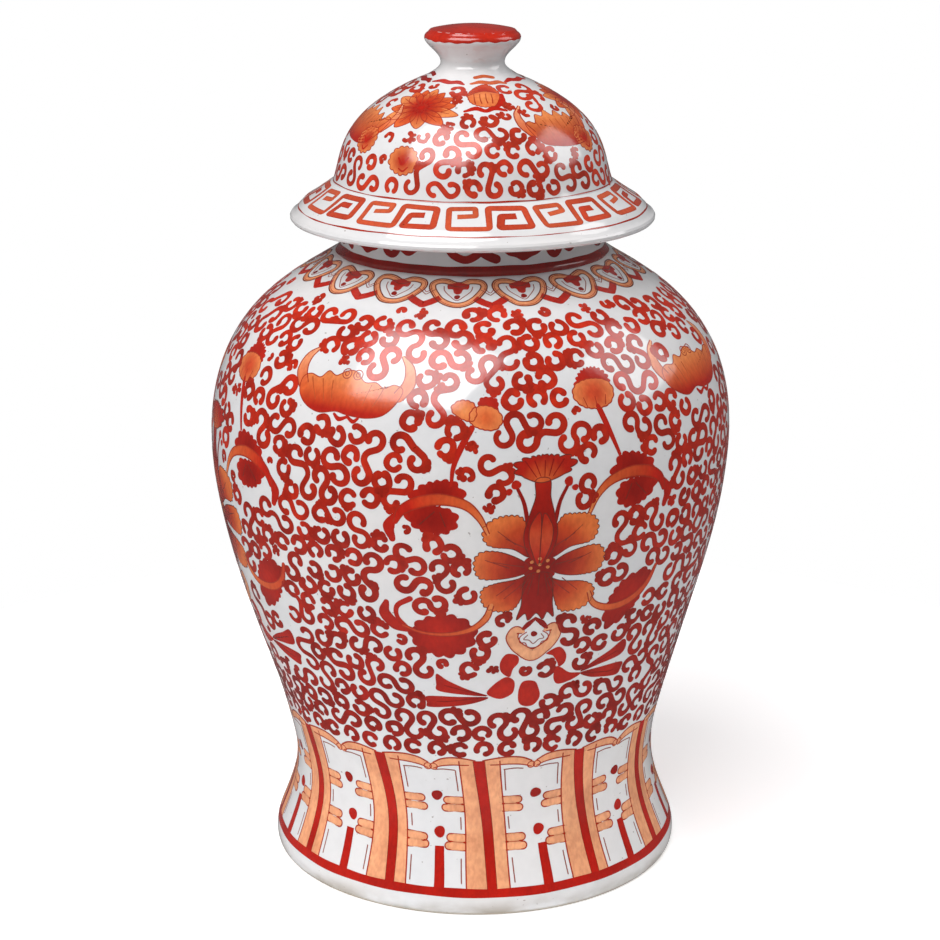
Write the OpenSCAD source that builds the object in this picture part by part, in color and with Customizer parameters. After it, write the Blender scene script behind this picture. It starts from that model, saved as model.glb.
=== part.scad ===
// Baluster ginger jar with a brimmed, domed lid.
// Origin: centre of the foot, on the surface the jar stands on.
// +Z is up, along the axis that the jar and the lid are thrown on.

/* [Jar] */
// Widest radius of the belly
belly_r = 142.2; // [136:0.2:150]
// Height of the belly, where the lower body is luted to the shoulder
belly_z = 241; // [225:1:250]
// Radius of the waist above the foot
waist_r = 101.2; // [92:0.2:106]
// Height of the waist, where the lower body is luted to the foot
waist_z = 55; // [52:1:64]
// Radius of the shoulder where it turns up into the neck
shoulder_r = 75; // [74:0.5:80]
// Height of the shoulder where it turns up into the neck
shoulder_z = 340; // [336:0.5:342]
// Thickness of the thrown wall
wall = 6; // [4:0.5:8]

/* [Foot] */
// Widest radius of the flared foot
foot_r = 114; // [108:0.5:122]
// Radius of the inner edge of the ring that the jar stands on
ring_inner_r = 102; // [99:0.5:105]
// Height of the underside of the floor
floor_z = 22; // [16:1:26]
// Thickness of the floor
floor_t = 8; // [5:0.5:12]

/* [Neck] */
// Outer radius of the neck
neck_r = 71.5; // [68:0.5:73]
// Height where the straight neck starts
neck_z = 344; // [342.5:0.5:348]
// Height of the rim, where the lid sits
rim_z = 368; // [364:0.5:370]

/* [Lid] */
// Widest radius of the brim
brim_r = 98; // [92:0.5:106]
// Height of the widest part of the brim
brim_z = 359.5; // [358:0.5:361]
// Radius of the corner between brim and dome
dome_r = 74.8; // [74:0.2:78]
// Height of the corner between brim and dome
dome_z = 378; // [377:0.5:381]
// Radial play between the lid's flange and the neck
flange_play = 1.5; // [0.8:0.1:3]
// Depth that the flange reaches below the rim
flange_depth = 22; // [12:1:28]
// Thickness of the flange
flange_t = 5; // [4:0.5:6]

/* [Knob] */
// Radius of the knob's root, on the dome
root_r = 24.4; // [22:0.2:27]
// Height of the knob's root, on the dome
root_z = 433.5; // [431:0.5:435]
// Radius of the knob's waist
stem_r = 17; // [14:0.5:19]
// Height of the knob's waist
stem_z = 441; // [440:0.5:443]
// Widest radius of the button
button_r = 25.5; // [22:0.5:28]
// Height of the widest part of the button
button_z = 453.2; // [452:0.2:455]
// Overall height, to the top of the button
overall_h = 460; // [459:0.5:462]

/* [Hidden] */
$fn = 128;

porcelain = "ghostwhite";
biscuit = "linen";
iron_red = "firebrick";

// Steps along a long curve, a short curve and a rounded corner.
long_steps = 22;
short_steps = 8;
corner_steps = 5;

// Foot: height of its widest part, bevel of the ring's corners, and the roundings under and over the floor.
foot_edge_z = 5.5;
ring_corner = 2;
recess_round = [6, 8];
floor_round = 18;
floor_crown = 1;

// Inside of the shoulder, just under the neck.
throat_flare = [0.6, -5];

// Rim of the neck and lower edge of the flange.
rim_round = 1.2;
flange_draft = 0.6;
flange_r = neck_r - wall - flange_play;

// Brim: half its thickness at the edge, the flat seat under it, and two points of its gently hollow top.
brim_edge = [3, 2.5];
seat_r = neck_r + 2;
brim_top = [[-7.5, 8], [-14.5, 12.5]];
crown_clear = [12, 8];

// Button: rounding of its edge, and how far its top is crowned.
button_edge = [2.4, 2.8];
button_top_r = button_r - 3;
button_crown = 2.6;

// Outlines as cubic curves: each is its two ends, with the handles that pull it between them.
foot_curve = [
    [foot_r, foot_edge_z],
    [foot_r, foot_edge_z + 9],
    [waist_r, waist_z - 22.5],
    [waist_r, waist_z]
];
body_curve = [
    [waist_r, waist_z],
    [waist_r, waist_z + 38],
    [belly_r, belly_z - 64],
    [belly_r, belly_z]
];
crown_curve = [
    [belly_r, belly_z],
    [belly_r, belly_z + 68],
    [shoulder_r + 20, shoulder_z - 13.5],
    [shoulder_r, shoulder_z]
];
dome_curve = [
    [dome_r, dome_z],
    [dome_r - 5.8, dome_z + 15.7],
    [root_r + 48.6, root_z - 20],
    [root_r, root_z]
];
stem_curve = [
    [root_r, root_z],
    [root_r - 8, root_z + 4.5],
    [stem_r, stem_z - 1.4],
    [stem_r, stem_z]
];
button_curve = [
    [stem_r, stem_z],
    [stem_r, stem_z + 4.3],
    [button_r, button_z - 3.7],
    [button_r, button_z]
];

// Point of a cubic curve at t, from 0 at its foot to 1 at its top.
function on_curve(c, t) =
    pow(1 - t, 3) * c[0] + 3 * t * pow(1 - t, 2) * c[1] + 3 * t * t * (1 - t) * c[2] + pow(t, 3) * c[3];

// Direction of a cubic curve at t.
function along_curve(c, t) =
    pow(1 - t, 2) * (c[1] - c[0]) + 2 * t * (1 - t) * (c[2] - c[1]) + t * t * (c[3] - c[2]);

// Point that lies a depth inside the surface, square to it.
function under_curve(c, t, depth) =
    let (d = along_curve(c, t))
    on_curve(c, t) + depth * [-d.y, d.x] / norm(d);

// Points up a curve, at a depth inside the surface.
function rising(c, steps, depth = 0) = [for (i = [0 : steps]) under_curve(c, i / steps, depth)];

// The same points, from the top down.
function falling(c, steps, depth = 0) = [for (i = [steps : -1 : 0]) under_curve(c, i / steps, depth)];

// Points of an elliptical arc about a centre, from one angle to another.
function arc(centre, radii, from, to, steps = corner_steps) =
    [for (i = [0 : steps])
        let (a = from + (to - from) * i / steps)
        centre + [radii.x * cos(a), radii.y * sin(a)]];

// Flared foot with the floor of the jar. Under the floor is a recess inside the ring that it stands on.
module foot() {
    color(porcelain)
        rotate_extrude()
            polygon(concat(
                [[0, floor_z + floor_crown], [waist_r - wall - 2 * recess_round.x, floor_z]],
                arc([ring_inner_r - 8, floor_z - 10], recess_round, 80, 0),
                [[ring_inner_r, ring_corner], [ring_inner_r + ring_corner, 0]],
                arc([foot_r - ring_corner, foot_edge_z], [ring_corner, foot_edge_z], -90, -10),
                rising(foot_curve, 14),
                [[waist_r - wall, waist_z]],
                arc([waist_r - wall - floor_round, floor_z + floor_t + floor_round],
                    [floor_round, floor_round], 0, -90),
                [[0, floor_z + floor_t + floor_crown]]
            ));
}

// Lower half of the belly, open at both ends.
module lower_body() {
    color(porcelain)
        rotate_extrude()
            polygon(concat(rising(body_curve, long_steps), falling(body_curve, long_steps, wall)));
}

// Upper half of the belly and the shoulder, up to the start of the neck.
module shoulder() {
    color(porcelain)
        rotate_extrude()
            polygon(concat(
                rising(crown_curve, long_steps),
                arc([shoulder_r, neck_z], [shoulder_r - neck_r, neck_z - shoulder_z], -120, -180),
                [[neck_r - wall, neck_z], [neck_r - wall, neck_z] + throat_flare],
                falling(crown_curve, long_steps, wall)
            ));
}

// Straight neck with a softened rim.
module neck() {
    color(porcelain)
        rotate_extrude()
            polygon(concat(
                [[neck_r, neck_z]],
                arc([neck_r - rim_round, rim_z - rim_round], [rim_round, rim_round], 0, 90),
                arc([neck_r - wall + rim_round, rim_z - rim_round], [rim_round, rim_round], 90, 180),
                [[neck_r - wall, neck_z]]
            ));
}

// Dome and brim of the lid, thrown in one. The flat part of the underside sits on the rim of the neck.
module lid_dome() {
    color(porcelain)
        rotate_extrude()
            polygon(concat(
                [[flange_r - flange_t, rim_z], [seat_r, rim_z]],
                arc([brim_r - brim_edge.x, brim_z], brim_edge, -80, 70),
                [for (p = brim_top) [brim_r, brim_z] + p],
                rising(dome_curve, long_steps),
                [[0, root_z], [0, root_z - wall]],
                [for (p = falling(dome_curve, long_steps, wall))
                    if (p.x < dome_r - crown_clear.x && p.y > rim_z + crown_clear.y) p],
                [[flange_r - flange_t, rim_z + wall]]
            ));
}

// Ring luted under the lid, which drops inside the neck and keeps the lid in place.
module lid_flange() {
    lower_z = rim_z - flange_depth + rim_round;
    color(biscuit)
        rotate_extrude()
            polygon(concat(
                [[flange_r - flange_t, rim_z], [flange_r - flange_t + flange_draft, lower_z]],
                arc([flange_r - flange_draft - rim_round, lower_z], [rim_round, rim_round], -90, 0),
                [[flange_r, rim_z]]
            ));
}

// Solid knob with a hollow-sided stem and a slightly crowned button on top.
module lid_knob() {
    color(iron_red)
        rotate_extrude()
            polygon(concat(
                [[0, root_z]],
                rising(stem_curve, short_steps),
                rising(button_curve, short_steps),
                arc([button_r - button_edge.x, button_z], button_edge, 15, 70),
                [for (i = [short_steps : -1 : 0])
                    let (t = i / short_steps)
                    [t * button_top_r, overall_h - button_crown * t * t]]
            ));
}

foot();
lower_body();
shoulder();
neck();
lid_dome();
lid_flange();
lid_knob();
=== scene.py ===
"""Looks of the ginger jar: glaze, bare porcelain and iron-red painting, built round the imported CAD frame."""
import math
import random

import bpy
import numpy as np
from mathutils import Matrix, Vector


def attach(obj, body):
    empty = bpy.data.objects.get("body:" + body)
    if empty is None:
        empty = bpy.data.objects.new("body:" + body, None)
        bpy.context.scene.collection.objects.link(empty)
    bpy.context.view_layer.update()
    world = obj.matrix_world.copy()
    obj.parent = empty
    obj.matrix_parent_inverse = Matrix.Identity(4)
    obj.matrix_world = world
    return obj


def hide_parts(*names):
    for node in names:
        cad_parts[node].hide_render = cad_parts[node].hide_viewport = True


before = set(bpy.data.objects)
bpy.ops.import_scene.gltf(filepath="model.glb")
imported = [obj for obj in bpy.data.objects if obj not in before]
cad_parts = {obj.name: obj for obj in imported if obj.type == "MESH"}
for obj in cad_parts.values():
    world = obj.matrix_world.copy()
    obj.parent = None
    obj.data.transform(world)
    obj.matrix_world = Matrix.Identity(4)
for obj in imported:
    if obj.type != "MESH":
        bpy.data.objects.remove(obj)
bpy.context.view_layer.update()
MM = 0.001


def smooth_between(z, table):
    """Value at z of a table of (height, value) rows, eased between rows."""
    table = np.asarray(table, float)
    i = np.clip(np.searchsorted(table[:, 0], z) - 1, 0, len(table) - 2)
    t = np.clip((z - table[i, 0]) / (table[i + 1, 0] - table[i, 0]), 0, 1)
    return table[i, 1] + (table[i + 1, 1] - table[i, 1]) * t * t * (3 - 2 * t)


# ---------------------------------------------------------------- outlines read from the frame

def seam(node):
    """Outline of a CAD node as (radius, height) points in mm, read along its seam, and whether it closes."""
    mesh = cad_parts[node].data
    place = {}
    for v in mesh.vertices:
        if abs(v.co.y) < 1e-6 and v.co.x > -1e-6:
            place[v.index] = (round(v.co.x / MM, 3), round(v.co.z / MM, 3))
    links = {}
    for e in mesh.edges:
        a, b = (place.get(i) for i in e.vertices)
        if a and b and a != b:
            links.setdefault(a, set()).add(b)
            links.setdefault(b, set()).add(a)
    ends = sorted(p for p in links if len(links[p]) == 1)
    point = ends[0] if ends else min(links)
    path = [point]
    while True:
        ahead = sorted(p for p in links[point] if p not in path)
        if not ahead:
            return path, not ends
        point = ahead[-1]
        path.append(point)


def room_inside(way):
    """A measure of the volume that a rising outline goes round."""
    return sum((a[0] + b[0]) ** 2 * (b[1] - a[1]) for a, b in zip(way, way[1:]))


def parts_of(node):
    """A node's outline as three lists: under it, up its outside, and back down its inside."""
    path, closed = seam(node)
    low = min(path, key=lambda p: (p[1], -p[0]))
    high = max(path, key=lambda p: (p[1], p[0]))
    if closed:
        i = path.index(low)
        path = path[i:] + path[:i]
        j = path.index(high)
        ways = [path[:j + 1], [path[0]] + path[:j - 1:-1]]
        inner, outer = sorted(ways, key=room_inside)
        return [], outer, inner[::-1]
    if path.index(low) > path.index(high):
        path = path[::-1]
    i, j = path.index(low), path.index(high)
    under, outer, inner = path[:i + 1], path[i:j + 1], path[j:]
    if under[0][0] > 0:
        under = [(0.0, under[0][1])] + under
    if inner[-1][0] > 0:
        inner = inner + [(0.0, inner[-1][1])]
    return under, outer, inner


def smooth(points, step, corner=27.0):
    """A smooth curve through the points, sharp only at corners: points, tangent arriving, tangent leaving."""
    q = np.array([p for i, p in enumerate(points) if i == 0 or math.dist(p, points[i - 1]) > 1e-3])
    d = np.hypot(*np.diff(q, axis=0).T)
    way = np.diff(q, axis=0) / d[:, None]
    arrive, leave = np.vstack([way[:1], way]), np.vstack([way, way[-1:]])
    turn = np.degrees(np.arccos(np.clip((way[:-1] * way[1:]).sum(1), -1, 1)))
    for i in range(1, len(q) - 1):
        if turn[i - 1] < corner:
            mid = way[i - 1] * d[i] + way[i] * d[i - 1]
            arrive[i] = leave[i] = mid / np.hypot(*mid)
    for i in range(len(q) - 1):
        bent_a = i > 0 and turn[i - 1] < corner
        bent_b = i < len(q) - 2 and turn[i] < corner
        if bent_b and not bent_a:
            leave[i] = 2 * way[i] - arrive[i + 1]
            leave[i] /= np.hypot(*leave[i])
        if bent_a and not bent_b:
            arrive[i + 1] = 2 * way[i] - leave[i]
            arrive[i + 1] /= np.hypot(*arrive[i + 1])
    pts, tin, tout = [q[0]], [arrive[0]], [leave[0]]
    for i in range(len(q) - 1):
        n = max(1, math.ceil(d[i] / step))
        for k in range(1, n + 1):
            t = k / n
            a, b = leave[i] * d[i], arrive[i + 1] * d[i]
            p = ((2 * t**3 - 3 * t**2 + 1) * q[i] + (t**3 - 2 * t**2 + t) * a
                 + (3 * t**2 - 2 * t**3) * q[i + 1] + (t**3 - t**2) * b)
            g = ((6 * t**2 - 6 * t) * q[i] + (3 * t**2 - 4 * t + 1) * a
                 + (6 * t - 6 * t**2) * q[i + 1] + (3 * t**2 - 2 * t) * b)
            g = g / max(np.hypot(*g), 1e-9)
            last = k == n
            pts.append(p)
            tin.append(arrive[i + 1] if last else g)
            tout.append(leave[i + 1] if last else g)
    return np.array(pts), np.array(tin), np.array(tout)


# ---------------------------------------------------------------- the thrown shape

# A hand-thrown jar isn't quite true: its axis drifts sideways (height, mm) and its wall is a little oval.
DRIFT = [(0, 1.4), (40, 1.4), (85, 0.0), (160, -1.7), (215, -1.7), (290, -0.5), (345, 0.0), (500, 0.0)]
OVAL = [(0, 0.0), (60, 0.12), (150, 0.30), (250, 0.30), (335, 0.0), (500, 0.0)]


def thrown(p):
    """Moves points of the jar, in mm, as the potter's hand did."""
    x, y, z = p[..., 0], p[..., 1], p[..., 2]
    r = np.maximum(np.hypot(x, y), 1e-6)
    a = np.arctan2(x, -y)
    waves = np.sin(2 * a + 0.7) + 0.6 * np.sin(3 * a + z / 55.0) + 0.4 * np.sin(5 * a - z / 31.0)
    grow = smooth_between(z, OVAL) * waves
    k = 1 + grow * np.clip(r / 100.0, 0, 1) / r
    return np.stack([x * k + smooth_between(z, DRIFT), y * k, z], -1)


def true(p):
    """The lid is turned true."""
    return p


class Skin:
    """The outside of a body: azimuth in degrees (0 at the front, + to the right), s in mm up the outline."""

    def __init__(self, nodes, warp, anchor, step=1.0):
        chain = []
        for node in nodes:
            outer = parts_of(node)[1]
            chain += outer[1:] if chain else outer
        self.pts, self.tin, self.tout = smooth(chain, step)
        self.nodes, self.warp = nodes, warp
        s = np.concatenate([[0], np.cumsum(np.hypot(*np.diff(self.pts, axis=0).T))])
        near = np.argmin(np.hypot(*(self.pts - np.array(anchor[0])).T))
        self.s = s - s[near] + anchor[1]
        mid = self.tin + self.tout
        mid = mid / np.hypot(*mid.T)[:, None]
        self.normal = np.stack([mid[:, 1], -mid[:, 0]], 1)

    def per_degree(self, s):
        """Millimetres to a degree of azimuth at s."""
        return np.interp(s, self.s, self.pts[:, 0]) * math.pi / 180

    def at(self, azimuth, s, lift):
        """Points (mm) and unit normals at azimuth, s, lifted off the glaze by lift mm."""
        r, z, nr, nz = (np.interp(s, self.s, v) for v in (*self.pts.T, *self.normal.T))
        k = np.hypot(nr, nz)
        nr, nz = nr / k, nz / k
        a = np.radians(azimuth)
        rr = r + nr * lift
        p = np.stack([rr * np.sin(a), -rr * np.cos(a), z + nz * lift], -1)
        n = np.stack([nr * np.sin(a), -nr * np.cos(a), nz], -1)
        return self.warp(p), n

    def between(self, node):
        """This node's stretch of the outline."""
        outer = parts_of(node)[1]
        i, j = (np.argmin(np.hypot(*(self.pts - np.array(p)).T)) for p in (outer[0], outer[-1]))
        return self.pts[i:j + 1], self.tin[i:j + 1], self.tout[i:j + 1]


# s is 57.4 at the jar's waist and 119.9 at the root of the lid's knob: (radius, height), s there
JAR = Skin(("foot", "lower_body", "shoulder", "neck"), thrown, ((101.2, 55.0), 57.4))
LID = Skin(("lid_dome", "lid_knob"), true, ((24.4, 433.5), 119.9))


# ---------------------------------------------------------------- meshes

def make_mesh(name, verts, faces, loop_normals=None, vert_normals=None):
    mesh = bpy.data.meshes.new(name)
    mesh.from_pydata((np.asarray(verts) * MM).tolist(), [], faces)
    mesh.polygons.foreach_set("use_smooth", [True] * len(mesh.polygons))
    if loop_normals is not None:
        mesh.normals_split_custom_set(loop_normals.tolist())
    if vert_normals is not None:
        mesh.normals_split_custom_set_from_vertices(vert_normals.tolist())
    mesh.update()
    obj = bpy.data.objects.new(name, mesh)
    bpy.context.scene.collection.objects.link(obj)
    return obj


def lathe(name, node, skin=None, turns=240, step=2.0, warp=true):
    """A closed turned piece on a CAD node's outline, with its outside taken from the body's one skin."""
    under, outer, inner = parts_of(node)
    runs = []
    if under:
        runs.append(smooth(under, step))
    runs.append(skin.between(node) if skin else smooth(outer, step))
    if len(inner) > 1:
        runs.append(smooth(inner, step))
    # one row for each short band: its two ends and their tangents
    rows = [row for pts, tin, tout in runs for row in zip(pts, pts[1:], tout, tin[1:])]
    ring_of, verts, a = {}, [], np.linspace(0, 2 * math.pi, turns, endpoint=False)

    def ring(p):
        key = (round(float(p[0]), 3), round(float(p[1]), 3))
        if key not in ring_of:
            ring_of[key] = len(verts)
            if key[0] <= 0:
                verts.append((0.0, 0.0, p[1]))
            else:
                verts.extend(np.stack([p[0] * np.sin(a), -p[0] * np.cos(a), np.full(turns, p[1])], 1))
        return ring_of[key], key[0] <= 0

    def normals(t):
        return np.stack([t[1] * np.sin(a), -t[1] * np.cos(a), np.full(turns, -t[0])], 1)

    faces, loops = [], []
    for p, q, tangent_p, tangent_q in rows:
        (i, i_pole), (j, j_pole) = ring(p), ring(q)
        if i == j:
            continue
        here, next_up = normals(tangent_p), normals(tangent_q)
        for k in range(turns):
            m = (k + 1) % turns
            if i_pole:
                faces.append((i, j + m, j + k))
                loops += [here[k], next_up[m], next_up[k]]
            elif j_pole:
                faces.append((i + k, i + m, j))
                loops += [here[k], here[m], next_up[k]]
            else:
                faces.append((i + k, i + m, j + m, j + k))
                loops += [here[k], here[m], next_up[m], next_up[k]]
    return make_mesh(name, warp(np.array(verts, float)), faces, loop_normals=np.array(loops))


# ---------------------------------------------------------------- painting: thin closed films of enamel

SINK = -0.05  # how far a film reaches into the glaze, mm
CUT = (False, False)  # a stroke with neither end rounded


def rgb(r, g, b):
    """A colour named in sRGB, as linear light."""
    c = np.array([r, g, b]) / 255.0
    return np.where(c <= 0.04045, c / 12.92, ((c + 0.055) / 1.055) ** 2.4)


class Film:
    """Enamel painted on a skin, gathered into one piece."""

    def __init__(self, skin):
        self.skin, self.verts, self.normals, self.colours, self.faces, self.count = skin, [], [], [], [], 0

    def put(self, azimuth, s, lift, colour):
        p, n = self.skin.at(azimuth, s, lift)
        first = self.count
        self.verts.append(p.reshape(-1, 3))
        self.normals.append(n.reshape(-1, 3))
        self.colours.append(np.broadcast_to(colour, p.shape).reshape(-1, 3))
        self.count += p.size // 3
        return first

    def stroke(self, azimuth, s, width, colour, lift=0.08, ends=(True, True), edge=0.86):
        """A brush stroke along (azimuth, s), width in mm at each point, with round or cut ends."""
        azimuth, s = np.asarray(azimuth, float), np.asarray(s, float)
        n = len(azimuth)
        width = np.broadcast_to(np.asarray(width, float), (n,)).copy()
        colour = np.broadcast_to(colour, (n, 3)).copy()
        r = self.skin.per_degree(s)
        if any(ends):
            add = [], []
            for side, (i, j) in enumerate(((0, 1), (-1, -2))):
                if not ends[side]:
                    continue
                r0 = (r[i] + r[j]) / 2
                dx, dy = (azimuth[i] - azimuth[j]) * r0, s[i] - s[j]
                d = max(math.hypot(dx, dy), 1e-6)
                for a in (25, 50, 72, 86):
                    k, w = math.sin(math.radians(a)), math.cos(math.radians(a))
                    add[side].append((azimuth[i] + dx / d * k * width[i] / 2 / r0,
                                      s[i] + dy / d * k * width[i] / 2, width[i] * w))
            head, tail = np.array(add[0][::-1]).reshape(-1, 3), np.array(add[1]).reshape(-1, 3)
            azimuth = np.concatenate([head[:, 0], azimuth, tail[:, 0]])
            s = np.concatenate([head[:, 1], s, tail[:, 1]])
            width = np.concatenate([head[:, 2], width, tail[:, 2]])
            colour = np.vstack([colour[:1].repeat(len(head), 0), colour, colour[-1:].repeat(len(tail), 0)])
            r = self.skin.per_degree(s)
            n = len(azimuth)
        gx, gy = np.gradient(azimuth) * r, np.gradient(s)
        d = np.maximum(np.hypot(gx, gy), 1e-9)
        ox, oy = -gy / d / r, gx / d
        across = np.array([-1, -0.55, 0.55, 1, 1, -1]) * -1
        top = np.array([lift * 0.75, lift, lift, lift * 0.75, SINK, SINK])
        half = width[:, None] / 2 * across[None, :]
        az, ss = azimuth[:, None] + ox[:, None] * half, s[:, None] + oy[:, None] * half
        tint = np.array([edge, 1.04, 1.04, edge, edge, edge])
        first = self.put(az, ss, np.broadcast_to(top, az.shape), colour[:, None, :] * tint[None, :, None])
        i = np.arange(n - 1)[:, None] * 6 + first
        k = np.arange(6)[None, :]
        m = (k + 1) % 6
        quads = np.stack([i + k, i + m, i + 6 + m, i + 6 + k], -1).reshape(-1, 4)
        self.faces += quads.tolist()
        self.faces.append([first + c for c in (5, 4, 3, 2, 1, 0)])
        self.faces.append([first + (n - 1) * 6 + c for c in range(6)])

    def sheet(self, azimuth, s, colour, lift=0.06):
        """A film over a grid of points: azimuth and s of shape (along, across), colour by 3 more."""
        azimuth, s = np.broadcast_arrays(np.asarray(azimuth, float), np.asarray(s, float))
        colour = np.broadcast_to(colour, azimuth.shape + (3,))
        r = self.skin.per_degree(s)
        here = azimuth[:-1, :-1], s[:-1, :-1], r[:-1, :-1]
        ux, uy = (azimuth[1:, :-1] - here[0]) * here[2], s[1:, :-1] - here[1]
        vx, vy = (azimuth[:-1, 1:] - here[0]) * here[2], s[:-1, 1:] - here[1]
        if (ux * vy - uy * vx).sum() < 0:
            azimuth, s, colour = azimuth[:, ::-1], s[:, ::-1], colour[:, ::-1]
        nu, nv = azimuth.shape
        top = self.put(azimuth, s, lift, colour)
        low = self.put(azimuth, s, SINK, colour)
        i, j = np.meshgrid(np.arange(nu - 1), np.arange(nv - 1), indexing="ij")
        a, b, c, d = (i * nv + j), ((i + 1) * nv + j), ((i + 1) * nv + j + 1), (i * nv + j + 1)
        self.faces += np.stack([a + top, b + top, c + top, d + top], -1).reshape(-1, 4).tolist()
        self.faces += np.stack([d + low, c + low, b + low, a + low], -1).reshape(-1, 4).tolist()
        rim = [k * nv for k in range(nu)] + [(nu - 1) * nv + k for k in range(1, nv)]
        rim += [k * nv + nv - 1 for k in range(nu - 2, -1, -1)] + [k for k in range(nv - 2, 0, -1)]
        for k in range(len(rim)):
            p, q = rim[k], rim[(k + 1) % len(rim)]
            self.faces.append([low + p, low + q, top + q, top + p])

    def patch(self, azimuth, s, centre, colour, lift=0.07, reach=3.5, rings=None):
        """A film inside a closed outline that the centre sees all of, in one colour or shaded by
        colour(out, azimuth, s), with out from 0 at the centre to 1 at the edge."""
        azimuth, s = np.asarray(azimuth, float), np.asarray(s, float)
        n = len(azimuth)
        r = self.skin.per_degree(s)
        if (np.roll(s, -1) * azimuth - s * np.roll(azimuth, -1)).sum() < 0:
            azimuth, s, r = azimuth[::-1], s[::-1], r[::-1]
        size = np.hypot((azimuth - centre[0]) * r, s - centre[1]).max()
        rings = rings or max(2, math.ceil(size / reach))
        out = np.arange(1, rings + 1) / rings
        az = centre[0] + (azimuth[None, :] - centre[0]) * out[:, None]
        ss = centre[1] + (s[None, :] - centre[1]) * out[:, None]
        o = np.broadcast_to(out[:, None], az.shape)
        az, ss, o = (np.append(c, m) for c, m in ((centre[0], az), (centre[1], ss), (0.0, o)))
        shade = colour(o, az, ss) if callable(colour) else np.broadcast_to(colour, (len(az), 3))
        top = self.put(az, ss, lift, shade)
        low = self.put(az, ss, SINK, shade)
        k = np.arange(n)
        m = (k + 1) % n
        fan = np.stack([np.zeros(n, int), 1 + k, 1 + m], -1)
        self.faces += (fan + top).tolist() + (fan[:, ::-1] + low).tolist()
        for g in range(rings - 1):
            a, b = 1 + g * n, 1 + (g + 1) * n
            quad = np.stack([a + k, b + k, b + m, a + m], -1)
            self.faces += (quad + top).tolist() + (quad[:, ::-1] + low).tolist()
        e = 1 + (rings - 1) * n
        self.faces += np.stack([low + e + k, low + e + m, top + e + m, top + e + k], -1).tolist()

    def dot(self, azimuth, s, radius, colour, lift=0.1, seed=0):
        """A round blob of enamel, a little out of true."""
        a = np.linspace(0, 2 * math.pi, 18, endpoint=False)
        rad = radius * (1 + 0.06 * np.sin(2 * a + seed) + 0.05 * np.sin(3 * a + 2.3 * seed))
        k = self.skin.per_degree(s)
        self.patch(azimuth + rad * np.cos(a) / k, s + rad * np.sin(a), (azimuth, s), colour, lift, rings=2)

    def piece(self, name, body):
        """Makes the piece of enamel, which moves with the body it is painted on."""
        obj = make_mesh(name, np.concatenate(self.verts), self.faces, None, np.concatenate(self.normals))
        colours = np.concatenate(self.colours)
        colours = np.concatenate([colours, np.ones((len(colours), 1))], 1)
        layer = obj.data.color_attributes.new("paint", "FLOAT_COLOR", "POINT")
        layer.data.foreach_set("color", colours.ravel().astype(np.float32))
        obj.data.materials.append(ENAMEL)
        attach(obj, body)


# ---------------------------------------------------------------- materials

class Finish:
    """A node material in the making; where is the place on the object, in metres."""

    def __init__(self, name, roughness):
        self.material = bpy.data.materials.new(name)
        self.material.use_nodes = True
        tree = self.material.node_tree
        self.nodes, self.link = tree.nodes, tree.links.new
        self.shader = self.nodes["Principled BSDF"].inputs
        self.shader["Roughness"].default_value = roughness
        self.shader["IOR"].default_value = GLAZE_IOR
        self.where = self.nodes.new("ShaderNodeTexCoord").outputs["Object"]

    def feed(self, socket, value):
        if isinstance(value, bpy.types.NodeSocket):
            self.link(value, socket)
        else:
            socket.default_value = value if isinstance(value, (int, float)) else (*value, 1.0)

    def noise(self, scale, detail, stretch=None):
        node, where = self.nodes.new("ShaderNodeTexNoise"), self.where
        node.inputs["Scale"].default_value = scale
        node.inputs["Detail"].default_value = detail
        if stretch:
            mapping = self.nodes.new("ShaderNodeMapping")
            mapping.inputs["Scale"].default_value = stretch
            self.link(where, mapping.inputs["Vector"])
            where = mapping.outputs["Vector"]
        self.link(where, node.inputs["Vector"])
        return node.outputs["Fac"]

    def ramp(self, noise, low, high, *between):
        """Colours by the noise: low, high and what lies between are (position, colour)."""
        node = self.nodes.new("ShaderNodeValToRGB")
        band, stops = node.color_ramp, sorted([low, high, *between], key=lambda stop: stop[0])
        while len(band.elements) < len(stops):
            band.elements.new(0.5)
        for element, (position, colour) in zip(band.elements, stops):
            element.position = position
            element.color = (*colour, 1.0)
        self.link(noise, node.inputs["Fac"])
        return node.outputs["Color"]

    def mix(self, fac, a, b, kind="MIX"):
        node = self.nodes.new("ShaderNodeMix")
        node.data_type, node.blend_type = "RGBA", kind
        for i, value in ((0, fac), (6, a), (7, b)):
            self.feed(node.inputs[i], value)
        return node.outputs[2]

    def times(self, a, b):
        node = self.nodes.new("ShaderNodeMath")
        node.operation = "MULTIPLY"
        self.feed(node.inputs[0], a)
        self.feed(node.inputs[1], b)
        return node.outputs[0]

    def below(self, low, high):
        """1 below low, 0 above high, in metres up the object."""
        split = self.nodes.new("ShaderNodeSeparateXYZ")
        self.link(self.where, split.inputs["Vector"])
        node = self.nodes.new("ShaderNodeMapRange")
        for name, value in (("From Min", low), ("From Max", high), ("To Min", 1.0), ("To Max", 0.0)):
            node.inputs[name].default_value = value
        self.link(split.outputs["Z"], node.inputs["Value"])
        return node.outputs["Result"]

    def done(self, colour, *bumps):
        """Colours the shader and lays the (height, strength, distance in m) bumps one on the other."""
        self.link(colour, self.shader["Base Color"])
        normal = None
        for height, strength, distance in bumps:
            node = self.nodes.new("ShaderNodeBump")
            node.inputs["Strength"].default_value = strength
            node.inputs["Distance"].default_value = distance
            self.link(height, node.inputs["Height"])
            if normal:
                self.link(normal, node.inputs["Normal"])
            normal = node.outputs["Normal"]
        self.link(normal, self.shader["Normal"])
        return self.material


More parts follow.
